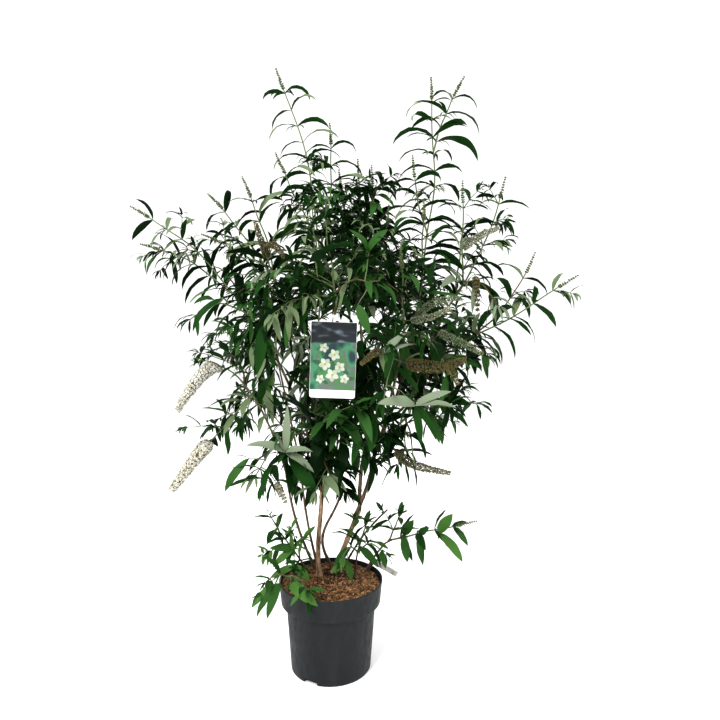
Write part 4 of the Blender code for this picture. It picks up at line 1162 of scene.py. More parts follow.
def blade_profile(s):
    """Half width along a leaf: a narrow stalk, widest before the middle, and a long point."""
    shape = s ** FOOT_POWER * (1 - s) ** TIP_POWER
    peak = FOOT_POWER / (FOOT_POWER + TIP_POWER)
    return np.maximum(shape / (peak ** FOOT_POWER * (1 - peak) ** TIP_POWER), LEAST_PROFILE)


def leaf_lines(rows, stations):
    """Centre line, side, normal and half width of each leaf at its stations."""
    root, direction = rows[:, 0:3], unit(rows[:, 3:6])
    length, width, curl, roll, twist = (rows[:, k] for k in (LENGTH, WIDTH, CURL, ROLL, TWIST))
    down = -UP - direction * (direction @ -UP)[:, None]
    upright = np.linalg.norm(down, axis=1, keepdims=True) < NEARLY_UPRIGHT
    down = unit(np.where(upright, np.cross(direction, AWAY), down))
    side = np.cross(direction, down)
    bend = down * np.cos(roll)[:, None] + side * np.sin(roll)[:, None]
    side = side * np.cos(roll)[:, None] - down * np.sin(roll)[:, None]
    most = np.arccos(np.clip(-(direction @ UP), -1, 1))
    curl = np.minimum(curl, most * MOST_CURL)
    s = np.asarray(stations, dtype=float)
    middle = (s[1:] + s[:-1]) / 2
    angle = curl[:, None] * middle[None] ** CURL_POWER
    way = direction[:, None] * np.cos(angle)[..., None] + bend[:, None] * np.sin(angle)[..., None]
    steps = way * (np.diff(s)[None] * length[:, None])[..., None]
    centre = np.concatenate((root[:, None], root[:, None] + np.cumsum(steps, axis=1)), axis=1)
    angle = curl[:, None] * s[None] ** CURL_POWER
    tangent = direction[:, None] * np.cos(angle)[..., None] + bend[:, None] * np.sin(angle)[..., None]
    normal = direction[:, None] * np.sin(angle)[..., None] - bend[:, None] * np.cos(angle)[..., None]
    spin = twist[:, None] * s[None]
    flat = side[:, None] * np.cos(spin)[..., None] + normal * np.sin(spin)[..., None]
    normal = np.cross(tangent, flat)
    half = np.maximum(blade_profile(s)[None] * width[:, None] / 2, STALK / 2)
    half[:, -1] = STALK / 4
    return centre, flat, normal, half


def add_leaves(pile, rows, stations):
    """Closed, folded and gently waved blades, coloured above and below."""
    centre, side, normal, half = leaf_lines(rows, stations)
    fold, phase = rows[:, FOLD], rows[:, PHASE]
    s = np.asarray(stations, dtype=float)
    lift = half * np.tan(fold)[:, None] * (1 - FOLD_FALL * s)[None]
    wave = half * EDGE_WAVE * (s * (1 - s) * 4)[None]
    left_wave = wave * np.sin(phase[:, None] + LEFT_WAVES * s[None])
    right_wave = wave * np.sin(phase[:, None] * RIGHT_PHASE + RIGHT_WAVES * s[None])
    left = centre + side * half[..., None] + normal * (lift + left_wave)[..., None]
    right = centre - side * half[..., None] + normal * (lift + right_wave)[..., None]
    below = centre - normal * LEAF_THICKNESS
    points = np.stack((left, centre, right, below), axis=2)
    count, rings = points.shape[:2]
    quads, above = [], []
    for ring in range(rings - 1):
        for k in range(4):
            a, b = ring * 4 + k, ring * 4 + (k + 1) % 4
            # Both faces are cut along the same diagonals, so neither shows through the other
            quads.append((a, b, b + 4, a + 4) if k < 2 else (b, b + 4, a + 4, a))
            above.append(k < 2)
    last = (rings - 1) * 4
    quads += [(3, 2, 1, 0), (last, last + 1, last + 2, last + 3)]
    above += [False, False]
    faces = np.asarray(quads)[None] + (np.arange(count) * rings * 4)[:, None, None]
    slots = np.where(np.asarray(above)[None], rows[:, TOP, None], rows[:, UNDER, None]).astype(int)
    pile.add(points, faces, slots.ravel())


def in_picture(points):
    """Places across the picture, and how deep into it, of points seen from the camera."""
    seen = points - np.array(CAMERA_PLACE)
    return seen[..., (0, 2)] / seen[..., 1:2], seen[..., 1]


def off_card(points):
    """True for each leaf that leaves the card's front in view."""
    low, high = (np.array(corner) for corner in tag_box)
    front = np.array(((low[0], low[1], low[2]), (high[0], low[1], high[2] - CARD_COVER)))
    (left, bottom), (right, top) = in_picture(front)[0]
    seen, _ = in_picture(points)
    ahead = points[..., 1] < high[1] + CARD_BACK
    covers = (seen[..., 0] > left - CARD_ROOM) & (seen[..., 0] < right + CARD_ROOM)
    covers &= (seen[..., 1] > bottom - CARD_ROOM) & (seen[..., 1] < top)
    return ~np.any(ahead & covers, axis=1)


def off_spikes(points, spikes):
    """True for each leaf that leaves the shown spikes in view."""
    seen, depth = in_picture(points)
    covers = np.zeros(depth.shape, dtype=bool)
    for line, radius in spikes:
        spots, deep = in_picture(line)
        for spot, far in zip(spots, deep):
            gap = np.linalg.norm(seen - spot, axis=-1) * far
            covers |= (gap < radius) & (depth < far)
    return ~np.any(covers, axis=1)


def leaf_is_clear(rows, stations, spikes):
    """True for each leaf in the model's box, off the soil and pot, and off the card and spikes."""
    points = leaf_lines(rows, stations)[0]
    low, high = (np.array(corner) for corner in cad_box)
    inside = np.all((points > low - BOX_SLACK) & (points < high + BOX_SLACK), axis=(1, 2))
    radius = np.hypot(points[..., 0], points[..., 1])
    in_pot = (radius < RIM_RADIUS + POT_ROOM) & (points[..., 2] < SOIL_TOP + SOIL_ROOM)
    return inside & ~np.any(in_pot, axis=1) & off_card(points) & off_spikes(points, spikes)


class Growth:
    """One mass as it grows: its leaves as rows of numbers, its twigs and its flowers."""

    def __init__(self, name, mass):
        self.name = name
        self.mass = mass
        self.form = FORMS[mass.form]
        self.rows = []
        self.paths = []
        self.sprig_paths = []
        self.shown = []
        self.twigs = Pile()
        self.flowers = Pile()
        self.draw = random.Random(name)
        self.colour()

    def colour(self):
        """Deal out this spray's colours above and below."""
        self.top = self.draw.choices(range(len(self.form.tops)), self.form.tops)[0]
        self.under = self.draw.choices(range(len(UNDERS)), UNDER_SHARES)[0]

    def add_leaf(self, root, direction, length, width=None, curl=None, roll=None, top=None, under=None):
        """One leaf. What isn't given is drawn from its range."""
        ranges = (LEAF_WIDTHS, self.form.curl, LEAF_ROLLS, LEAF_TWISTS, LEAF_FOLDS, (0, ALL_ROUND))
        numbers = [self.draw.uniform(*limits) for limits in ranges]
        width = length * self.form.width * numbers[0] if width is None else width
        curl = numbers[1] if curl is None else curl
        roll = numbers[2] if roll is None else roll
        top = self.top if top is None else LEAF_ORDER.index(top)
        under = self.under if under is None else UNDER_ORDER.index(under)
        self.rows.append((*root, *unit(direction), length, width, curl, roll, *numbers[3:6], top, under))

    def add_blade(self, root, blade):
        """One leaf from its root to a given reach, bent upwards on the way, its top tilted to the front."""
        reach = np.array(blade.reach)
        chord = unit(reach)
        front = unit(chord * np.dot(chord, AWAY) - AWAY)
        rise = front
        if abs(chord[2]) < STEEP_BLADE:
            rise = unit(UP - chord * chord[2]) * math.cos(BLADE_TILT) + front * math.sin(BLADE_TILT)
        rise = unit(rise)
        half = blade.curl / 2
        length = np.linalg.norm(reach) * half / math.sin(half)
        direction = chord * math.cos(half) + rise * math.sin(half)
        bend = chord * math.sin(half) - rise * math.cos(half)
        down = unit(direction * direction[2] - UP)
        roll = math.atan2(np.dot(bend, np.cross(direction, down)), np.dot(bend, down))
        self.add_leaf(root, direction, length, blade.width, blade.curl, roll, blade.top, blade.under)

    def add_pair(self, point, along, turn, length, radius, rise):
        """Two opposite leaves at a node."""
        outward = turned(across(along), along, turn)
        for sign in (1, -1):
            lean = self.draw.uniform(*rise)
            size = length * self.draw.uniform(*LEAF_SIZES)
            self.add_leaf(point + outward * sign * radius * PAIR_ROOT, outward * sign + along * lean, size)

    def add_tuft(self, point, along, turn, length):
        """Small young leaves in the angle of a pair."""
        outward = turned(across(along), along, turn)
        for sign in (1, -1):
            for _ in range(2):
                spread = outward * sign + np.cross(along, outward) * self.draw.uniform(*TUFT_SPREAD)
                size = length * self.draw.uniform(*TUFT_SIZES)
                self.add_leaf(point, spread + along * self.draw.uniform(*TUFT_LEANS), size)

    def add_twig(self, point, along, turn, reach, level):
        """A side twig with its leaves and, on the longer ones, smaller twigs."""
        outward = turned(across(along), along, turn)
        lean = self.draw.uniform(*TWIG_LEANS)
        length = reach * self.draw.uniform(*TWIG_LENGTHS)
        tip = point + unit(outward + along * lean + UP * TWIG_LIFT) * length
        path = Path(point, tip, UP * length * self.draw.uniform(*TWIG_BOWS), WOBBLE, self.draw)
        self.colour()
        leaf = self.mass.leaf * self.form.length * min(1, TWIG_LEAF + length / TWIG_LEAF_REACH)
        self.dress(path, TWIG_RADII[level], level, 1, leaf)

    def dress(self, path, radii, level, end, leaf, spiked=False):
        """A shoot or twig: its tube, and from node to node its pairs, tufts and side twigs."""
        stretch = path.stretch(0, end)
        thin = np.linspace(radii[0], radii[1], len(stretch))
        colour = TWIG_ORDER.index("red" if self.draw.random() < RED_SHARE else "green")
        add_tube(self.twigs, stretch, thin, TWIG_SIDES, colour)
        nodes = max(2, round(path.length * end / (self.form.gap * NODE_SHARE[level])))
        turns = (-FIRST_TURN, FIRST_TURN) if level == 0 else (0, math.pi)
        first_turn = self.draw.uniform(*turns)
        for i in range(nodes):
            t = (i + NODE_PLACE) / nodes * end
            point, along = path.at(t)
            turn = first_turn + self.pair_turn(i, level) + self.draw.uniform(-TURN_SLACK, TURN_SLACK)
            size = leaf * (1 - (1 - self.form.tip) * t * t) * (SMALL_TWIG_LEAF if level == 2 else 1)
            self.add_pair(point, along, turn, size, radii[0] * (1 - TWIG_TAPER * t), self.form.rise)
            if level < 2 and i % 2 == 0:
                self.add_tuft(point, along, turn, leaf * NODE_TUFT)
            self.branch(path, point, along, turn, t, level)
        if not spiked:
            point, along = path.at(end)
            self.add_tuft(point, along, first_turn, leaf * END_TUFT)
            self.add_leaf(point, along + UP * END_LIFT, leaf * END_LEAF)

    def pair_turn(self, number, level):
        """Pairs stand crosswise, but spread to two sides on leading shoots in the open."""
        if level == 0 and self.form.spread:
            return self.form.spread * (-1) ** number
        return number * math.pi / 2

    def branch(self, path, point, along, turn, t, level):
        """Side twigs in the angles of a pair, fewer and shorter towards the tip."""
        chance = TWIG_CHANCE[level] * self.form.twigs * (1 - CHANCE_FALL * t)
        reach = self.form.reach * TWIG_REACH[level] * (1 - REACH_FALL * t)
        for side in (0, math.pi):
            if self.draw.random() < chance:
                self.add_twig(point, along, turn + side, reach, level + 1)

    def add_spike(self, path, end, kind):
        """A flower spike along the end of a shoot: whorls of buds, capsules or flowers."""
        spike = SPIKES[kind]
        points = path.stretch(end, 1)
        stalk = TWIG_ORDER.index("green")
        add_tube(self.twigs, points, np.linspace(*STALK_RADII, len(points)), TWIG_SIDES, stalk)
        draw = np.random.default_rng(self.draw.randrange(10 ** 6))
        count = spike.count
        whorls = max(LEAST_WHORLS, round(path.length * (1 - end) / WHORL_GAP))
        steps = (np.floor(draw.random(count) ** CROWDING * whorls) + 0.5) / whorls
        steps = np.clip(steps + draw.normal(0, WHORL_SLACK, count), 0, 1)
        ts = end + (1 - end) * steps
        centre = path.spots(ts)
        along = np.broadcast_to(unit(points[-1] - points[0]), centre.shape)
        helper = unit(np.cross(along, UP) + 1e-6)
        other = np.cross(along, helper)
        angle = draw.uniform(0, 2 * math.pi, count)
        outward = helper * np.cos(angle)[:, None] + other * np.sin(angle)[:, None]
        fullness = np.minimum(1, FOOT_FULLNESS + steps * FILLING)
        fullness = fullness * (1 - spike.narrowing * steps ** NARROWING_POWER)
        depth = draw.uniform(*FLOWER_DEPTHS, count) ** 0.5
        reach = (spike.radius - spike.size * 0.5) * fullness * depth
        places = centre + outward * reach[:, None]
        ways = outward + along * draw.uniform(*FLOWER_LEANS, count)[:, None]
        weights = np.array([weight for _, weight in spike.share], dtype=float)
        kinds = [FLOWER_ORDER.index(name) for name, _ in spike.share]
        slots = draw.choice(kinds, count, p=weights / weights.sum())
        sizes = spike.size * draw.uniform(*FLOWER_SIZES, count) * (1 - SHRINKING * steps)
        shape = FLORET if spike.is_open else CAPSULE
        scatter(self.flowers, shape, places, ways, sizes, draw.uniform(0, ALL_ROUND, count), slots)

    def lay(self, foot, shoot, end=1.0):
        """A shoot's path, and where it ends or its spike begins."""
        wobble = WOBBLE * SPIKED_WOBBLE if shoot.spike else WOBBLE
        path = Path(foot, shoot.tip, shoot.bow, wobble, self.draw)
        if shoot.spike:
            gaps = np.linalg.norm(path.points - path.points[-1], axis=1)
            spike = SPIKES[shoot.spike]
            end = float(np.interp(-spike.length, -gaps, path.ts))
            if shoot.spike != "bud":
                line = path.spots(np.linspace(end, 1, SIGHT_POINTS))
                self.shown.append((line, spike.radius * SIGHT_SHARE))
        return path, end

    def lay_paths(self, start, normal):
        """The mass's stem goes on from the limb's end, then divides into leading shoots and sprigs."""
        neck = start + normal * NECK
        leading = self.mass.shoots[0]
        for number, shoot in enumerate(self.mass.shoots):
            fork = curve_points(neck, leading.tip, leading.bow, (0, 0, 0), (shoot.at,))[0]
            self.paths.append(self.lay(neck if number == 0 else fork, shoot, shoot.grown))
        for sprig in SPRIGS.get(self.name, ()):
            foot = self.paths[sprig.shoot][0].at(sprig.at)[0]
            self.sprig_paths.append(self.lay(foot, sprig))

    def grow(self, start, normal, radius):
        """The foot of the mass, then each shoot and sprig with its leaves and spike."""
        neck = self.paths[0][0].points[1]
        foot = np.array([start - normal * FOOT_SINK, start, neck])
        radii = [radius * FOOT_WIDTH, radius * FOOT_WIDTH, TWIG_RADII[0][0]]
        add_tube(self.twigs, foot, radii, FOOT_SIDES, TWIG_ORDER.index("red"))
        for shoot, (path, end) in zip(self.mass.shoots, self.paths):
            self.colour()
            leaf = self.mass.leaf * self.form.length
            self.dress(path, TWIG_RADII[0], 0, end, leaf, bool(shoot.spike))
            if shoot.spike:
                self.add_spike(path, end, shoot.spike)
        for sprig, (path, end) in zip(SPRIGS.get(self.name, ()), self.sprig_paths):
            self.add_sprig(sprig, path, end)

    def add_sprig(self, sprig, path, end):
        """A thin twig with the leaves or the spike that it carries."""
        self.colour()
        if sprig.leaf:
            self.dress(path, TWIG_RADII[1], 1, end, sprig.leaf)
            return
        stretch = path.stretch(0, end)
        thin = np.linspace(*TWIG_RADII[1], len(stretch))
        add_tube(self.twigs, stretch, thin, TWIG_SIDES, TWIG_ORDER.index("green"))
        for blade in sprig.blades:
            self.add_blade(path.points[-1], blade)
        if sprig.spike:
            self.add_spike(path, end, sprig.spike)
            point, along = path.at(end * SPRIG_PAIR_PLACE)
            self.add_pair(point, along, 0, self.mass.leaf * SPRIG_PAIR, thin[-1], self.form.rise)
        else:
            self.add_tuft(path.points[-1], path.at(1)[1], 0, self.mass.leaf * SPRIG_TUFT)

    def finish(self, materials, spikes):
        """Build the mass's joined pieces."""
        rows = np.array(self.rows)
        small = rows[:, LENGTH] < SMALL_LENGTH
        wide = ~small & (rows[:, WIDTH] > WIDE_WIDTH)
        leaves = Pile()
        for chosen, stations in ((~small & ~wide, FULL_LEAF), (wide, WIDE_LEAF), (small, SMALL_LEAF)):
            some = rows[chosen]
            some = some[leaf_is_clear(some, stations, spikes)]
            if len(some):
                add_leaves(leaves, some, stations)
        piles = {"blades": leaves, "twigs": self.twigs, "flowers": self.flowers}
        for kind, pile in piles.items():
            if pile.count:
                keep(pile.build(self.name + "_" + kind, materials[kind]), "foliage", self.name)


def parent_frame(place, at):
    """Point, direction and radius at a fraction of a limb, on the solid's own straight stretches."""
    limb, start = place
    points = curve_points(start, limb.tip, limb.bow, limb.sway, np.linspace(0, 1, LIMB_STEPS + 1))
    step = min(int(at * LIMB_STEPS), LIMB_STEPS - 1)
    share = at * LIMB_STEPS - step
    point = points[step] * (1 - share) + points[step + 1] * share
    radius = limb.radii[0] + (limb.radii[1] - limb.radii[0]) * at
    return point, unit(points[step + 1] - points[step]), radius


def place_limbs():
    """Where each limb of the solids starts."""
    places = {}
    for name, limb in LIMBS.items():
        if limb.parent == "soil":
            start = np.array((*limb.base, SOIL_TOP + GAP))
        else:
            here, along, radius = parent_frame(places[limb.parent], limb.at)
            away = np.array(limb.tip) - here
            away = unit(away - along * np.dot(away, along))
            start = here + along * GAP if limb.at == 1 else here + away * (radius + GAP)
        places[name] = (limb, start)
    return places


def add_bark(pile, name, limb, start, placed):
    """A limb with the relief of its bark: long cracks, swollen nodes and a flare at the soil, its colour
    darker in the cracks as painted shade and lighter on the ridges as painted highlight.
    """
    length = np.linalg.norm(np.array(limb.tip) - start)
    rings = max(LEAST_RINGS, round(length / BARK_RING))
    ts = np.linspace(0, 1, rings)
    points = curve_points(start, limb.tip, limb.bow, limb.sway, ts)
    radii = limb.radii[0] + (limb.radii[1] - limb.radii[0]) * ts
    if limb.parent == "soil":
        heights = points[:, 2] - SOIL_TOP
        radii = radii * (1 + FLARE * np.exp(-heights / FLARE_HEIGHT))
        points = np.concatenate(([points[0] - (0, 0, SOIL_SINK)], points))
        radii = np.concatenate(([radii[0] * SUNK_WIDTH], radii))
    elif limb.at < 1:
        here, along, _ = parent_frame(placed[limb.parent], limb.at)
        inner = here * (1 - SOCKET_SHARE) + start * SOCKET_SHARE - along * SOCKET_DEPTH
        points = np.concatenate(([inner], points))
        grip = 1 + GRIP * np.exp(-ts * length / GRIP_REACH)
        radii = np.concatenate(([radii[0]], radii * grip))
    draw = random.Random(name)
    seed = Vector((draw.uniform(0, 50), draw.uniform(0, 50), draw.uniform(0, 50)))
    _, one, other = frames(points)
    runs = np.concatenate(((0,), np.cumsum(np.linalg.norm(np.diff(points, axis=0), axis=1))))
    first_node = draw.uniform(0.2, 1) * BARK_NODE_GAP
    verts = []
    relief_shade = []
    for ring, run in enumerate(runs):
        away_from_node = abs((run - first_node + BARK_NODE_GAP / 2) % BARK_NODE_GAP - BARK_NODE_GAP / 2)
        swell = 1 + NODE_SWELL * math.exp(-(away_from_node / NODE_REACH) ** 2)
        for cos, sin in circle(BARK_SIDES):
            place = Vector((cos * CRACKS_ROUND, sin * CRACKS_ROUND, run * CRACKS_ALONG)) + seed
            crack = noise.noise(place)
            fine = noise.noise(Vector((cos * FINE_ROUND, sin * FINE_ROUND, run * FINE_ALONG)) + seed)
            radius = radii[ring] * swell * (1 + CRACK_DEPTH * crack + FINE_DEPTH * fine)
            verts.append(points[ring] + (one[ring] * cos + other[ring] * sin) * radius)
            relief_shade.append(crack + FINE_SHADE_SHARE * fine)
    quads = ring_faces(len(points), BARK_SIDES)
    offset = 4 * list(BARKS).index(limb.bark)
    # Each face's colour follows the relief: darkest in the deepest cracks as painted shade, lightest on the
    # highest ridges as painted highlight
    values = [sum(relief_shade[k] for k in quad) / 4 for quad in quads]
    slots = [offset + RELIEF_SHADE_SLOTS[bisect(RELIEF_SHADE_STEPS, value)] for value in values]
    count = len(verts)
    verts += [points[0], points[-1]]
    ends = fan(count, 0, BARK_SIDES, True) + fan(count + 1, count - BARK_SIDES, BARK_SIDES)
    pile.add(verts, quads, slots, ends, offset + 1)


def make_limbs(placed):
    """Stems and boughs with relief, joined in two pieces."""
    materials = []
    for kind, colours in BARKS.items():
        materials += [plain_material("bark", "%s_%d" % (kind, i), c) for i, c in enumerate(colours)]
    groups = {"stems_bark": [], "boughs_bark": []}
    for name in LIMBS:
        groups["boughs_bark" if name.startswith(("bough", "fork")) else "stems_bark"].append(name)
    for piece, names in groups.items():
        pile = Pile()
        for name in names:
            add_bark(pile, name, *placed[name], placed)
        keep(pile.build(piece, materials), "bark", *names)


def make_masses(placed):
    """Each mass of foliage from the end of its limb."""
    blades = [plain_material("leaf", name, colour) for name, colour in TOPS.items()]
    blades += [plain_material("underside", name, colour) for name, colour in UNDERS.items()]
    materials = {
        "blades": blades,
        "twigs": [plain_material("twig", name, colour) for name, colour in TWIGS.items()],
        "flowers": [plain_material("flower", name, colour) for name, colour in FLOWERS.items()],
    }
    growths = [Growth(name, mass) for name, mass in MASSES.items()]
    feet = [parent_frame(placed[mass.limb], 1) for mass in MASSES.values()]
    for growth, (start, normal, _) in zip(growths, feet):
        growth.lay_paths(start, normal)
    spikes = [shown for growth in growths for shown in growth.shown]
    for growth, foot in zip(growths, feet):
        growth.grow(*foot)
        growth.finish(materials, spikes)


def label_frame(label, placed):
    """Where a card hangs, and its directions across and up; its face looks along -Y."""
    here, along, radius = parent_frame(placed[label.limb], label.at)
    tilt = math.radians(label.tilt)
    right = np.array((math.cos(tilt), 0, math.sin(tilt)))
    up = np.array((-math.sin(tilt), 0, math.cos(tilt)))
    reach = radius + BAND_GAP + BAND_THICKNESS / 2
    shift = AWAY * reach + up * BAND_WIDTH / 2 if label.behind else up * -reach
    return here + shift, right, up, here, along, radius


def rounded_box(left, right, low, high, corner):
    """A rectangle's outline with round corners, from the top right one round the top."""
    outline = []
    corners = ((right, high, 0), (left, high, 90), (left, low, 180), (right, low, 270))
    for x, z, first in corners:
        middle_x = x - math.copysign(corner, x - (left + right) / 2)
        middle_z = z - math.copysign(corner, z - (low + high) / 2)
        for step in range(CORNER_STEPS + 1):
            angle = math.radians(first + 90 * step / CORNER_STEPS)
            outline.append((middle_x + corner * math.cos(angle), middle_z + corner * math.sin(angle)))
    return outline


def flat_piece(name, shapes, origin, right, up, materials):
    """Thin closed plates of given outlines, each between two depths from the card's middle."""
    verts, faces, slots = [], [], []
    for outline, front, back, slot in shapes:
        first = len(verts)
        count = len(outline)
        for depth in (front, back):
            verts += [tuple(origin + right * x + up * z + AWAY * depth) for x, z in outline]
        faces.append(tuple(range(first, first + count)))
        faces.append(tuple(reversed(range(first + count, first + 2 * count))))
        for i in range(count):
            j = (i + 1) % count
            faces.append((first + i, first + count + i, first + count + j, first + j))
        slots += [slot] * (count + 2)
    piece = new_object(name, verts, faces, materials, slots)
    smooth(piece.data, CARD_SHARP)
    return piece


def band_points(pile, here, along, radius):
    """The band of a label round its limb."""
    inner, outer = radius + BAND_GAP, radius + BAND_GAP + BAND_THICKNESS
    side = across(along)
    other = np.cross(side, along)
    verts = []
    for run, ring in ((-1, inner), (-1, outer), (1, outer), (1, inner)):
        for cos, sin in circle(BAND_SIDES):
            verts.append(here + (side * cos + other * sin) * ring + along * run * BAND_WIDTH / 2)
    quads = ring_faces(4, BAND_SIDES)
    low = 3 * BAND_SIDES
    for i in range(BAND_SIDES):
        j = (i + 1) % BAND_SIDES
        quads.append((low + i, low + j, j, i))
    pile.add(verts, quads, 0)


def card_outline(label):
    """A card with its strap, whose upper edge is at the origin."""
    width, length = label.size
    half, strap = width / 2, STRAP_WIDTH / 2
    box = rounded_box(-half, half, -label.strap - length, -label.strap, label.corner)
    split = CORNER_STEPS + 1
    neck = [(strap, -label.strap), (strap, 0), (-strap, 0), (-strap, -label.strap)]
    return box[:split] + neck + box[split:]


def card_material(name, colour, smudge, strength):
    """Smooth card or film with faint smudges."""
    made = Material(name, 0.35, colour)
    spots = made.speckle(60, Detail=3.0)
    stops = ((0.40, colour), (0.40 + strength, smudge))
    made.link(made.ramp(spots.outputs["Fac"], stops), made.shader.inputs["Base Color"])
    fibres = made.speckle(900, Detail=2.0)
    made.bump(fibres.outputs["Fac"], 0.15, 0.0002)
    return made.mat


def print_material(low, high):
    """The card's printed ground: blurred greens below a dark band with grey patches."""
    made = Material("card_print", 0.28)
    greens = made.speckle(26, Detail=1.0)
    green = made.ramp(greens.outputs["Fac"], PRINT_GREENS)
    darks = made.speckle(24, (1, 1, 2.2), Detail=1.0)
    dark = made.ramp(darks.outputs["Fac"], PRINT_DARKS)
    place = made.nodes.new("ShaderNodeTexCoord")
    parts = made.nodes.new("ShaderNodeSeparateXYZ")
    made.link(place.outputs["Object"], parts.inputs[0])
    height = made.nodes.new("ShaderNodeMapRange")
    edge = low + (high - low) * PRINT_SPLIT
    height.inputs["From Min"].default_value = edge - PRINT_BLUR
    height.inputs["From Max"].default_value = edge + PRINT_BLUR
    made.link(parts.outputs["Z"], height.inputs["Value"])
    mix = made.nodes.new("ShaderNodeMix")
    mix.data_type = "RGBA"
    made.link(height.outputs["Result"], mix.inputs["Factor"])
    made.link(green, mix.inputs["A"])
    made.link(dark, mix.inputs["B"])
    made.link(mix.outputs["Result"], made.shader.inputs["Base Color"])
    return made.mat


def petal(x, z, turn, length, width, points=9):
    """A petal's or leaf's outline from its foot, widest past the middle."""
    outline = []
    for i in range(points * 2):
        side = 1 if i < points else -1
        s = i / (points - 1) if i < points else (2 * points - 1 - i) / (points - 1)
        half = width / 2 * math.sin(math.pi * s ** PETAL_BULGE) if 0 < s < 1 else width * PETAL_FOOT
        outline.append((length * s, side * half))
    cos, sin = math.cos(turn), math.sin(turn)
    return [(x + a * cos - b * sin, z + a * sin + b * cos) for a, b in reversed(outline)]


def make_tag(placed):
    """The picture card: white card, printed ground, pale blossoms and leaves, and a blank strip."""
    label = LABELS["tag"]
    origin, right, up, here, along, radius = label_frame(label, placed)
    front = -CARD_THICKNESS / 2
    white = card_material("card_white", (0.80, 0.80, 0.78), (0.70, 0.71, 0.70), 0.35)
    card = flat_piece("tag_card", [(card_outline(label), front, -front, 0)], origin, right, up, [white])
    keep(card, "tag_card", "tag")
    pile = Pile()
    band_points(pile, here, along, radius)
    keep(pile.build("tag_band", [white]), "tag_card")
    half = label.size[0] / 2 - CARD_MARGIN
    low = -label.strap - label.size[1] + CARD_STRIP
    high = -label.strap - CARD_MARGIN
    ground = rounded_box(-half, half, low, high, CARD_MARGIN)
    print_mat = print_material(origin[2] + low, origin[2] + high)
    shapes = [(ground, front - PRINT_LIFT, front, 0)]
    keep(flat_piece("tag_print", shapes, origin, right, up, [print_mat]), "tag_card")
    draw = random.Random(5)
    shapes = []
    lift = front - 2 * PRINT_LIFT
    for share_x, share_z, size in BLOSSOMS:
        x, z = half * share_x, low + (high - low) * share_z
        for k in range(2):
            turn = draw.uniform(0, 2 * math.pi)
            long, wide = LEAF_PRINT
            shapes.append((petal(x, z, turn, size * long, size * wide), lift, front, 3 + k))
            lift -= PRINT_STEP
        first = draw.uniform(0, 2 * math.pi)
        for k in range(PETALS):
            turn = first + 2 * math.pi * k / PETALS
            long, wide = PETAL_PRINT
            shapes.append((petal(x, z, turn, size * long, size * wide), lift, front, k % 2))
            lift -= PRINT_STEP
        eye = size * EYE_PRINT
        ring = [(x + eye * math.cos(a), z - eye * math.sin(a)) for a in EYE_ANGLES]
        shapes.append((ring, lift, front, 2))
        lift -= PRINT_STEP
    inks = []
    for i, colour in enumerate(BLOSSOM_INKS):
        inks.append(card_material("ink_%d" % i, colour, tuple(c * INK_SMUDGE for c in colour), 0.3))
    keep(flat_piece("tag_blossoms", shapes, origin, right, up, inks), "tag_card")


def make_slip(placed):
    """The narrow slip behind the cut stub."""
    label = LABELS["slip"]
    origin, right, up, here, along, radius = label_frame(label, placed)
    mat = card_material("slip_film", (0.36, 0.345, 0.31), (0.17, 0.165, 0.15), 0.25)
    half = CARD_THICKNESS / 2
    slip = flat_piece("slip_card", [(card_outline(label), -half, half, 0)], origin, right, up, [mat])
    keep(slip, "slip_card", "slip")
    pile = Pile()
    band_points(pile, here, along, radius)
    keep(pile.build("slip_band", [mat]), "slip_card")


def turned_object(name, profile, sides, mat):
    """A solid of revolution. The profile's first and last points lie on the axis."""
    verts = [(0, 0, profile[0][1])]
    for radius, height in profile[1:-1]:
        verts += [(radius * cos, radius * sin, height) for cos, sin in circle(sides)]
    verts.append((0, 0, profile[-1][1]))
    faces = [tuple(k + 1 for k in face) for face in ring_faces(len(profile) - 2, sides)]
    last = len(verts) - 1
    faces += fan(0, 1, sides, True) + fan(last, last - sides, sides)
    return new_object(name, verts, faces, [mat])


def rounded(corners, radius, steps=4):
    """A profile with each inner corner rounded by a short curve."""
    corners = [np.array(corner, dtype=float) for corner in corners]
    out = [tuple(corners[0])]
    for before, here, after in zip(corners, corners[1:], corners[2:]):
        back, ahead = before - here, after - here
        reach = min(radius, MOST_ROUNDING * np.linalg.norm(back), MOST_ROUNDING * np.linalg.norm(ahead))
        first = here + unit(back) * reach
        last = here + unit(ahead) * reach
        for i in range(steps + 1):
            t = i / steps
            out.append(tuple(first * (1 - t) ** 2 + here * 2 * t * (1 - t) + last * t ** 2))
    out.append(tuple(corners[-1]))
    return out


def notch_cutter(angle):
    """A drain notch's wedge, wider at the bottom, across the pot's lower edge."""
    low = NOTCH_WIDTH / 2
    high = low * NOTCH_TAPER
    corners = ((-low, -NOTCH_DEPTH), (low, -NOTCH_DEPTH), (high, NOTCH_HEIGHT), (-high, NOTCH_HEIGHT))
    verts = []
    for radius in (BASE_RADIUS - NOTCH_DEPTH, BASE_RADIUS + NOTCH_DEPTH):
        for side, height in corners:
            verts.append((side, -radius, height))
    faces = [(3, 2, 1, 0), (4, 5, 6, 7), (1, 5, 4, 0), (2, 6, 5, 1), (3, 7, 6, 2), (0, 4, 7, 3)]
    cutter = new_object("notch", verts, faces)
    cutter.rotation_euler = (0, 0, math.radians(angle))
    return cutter


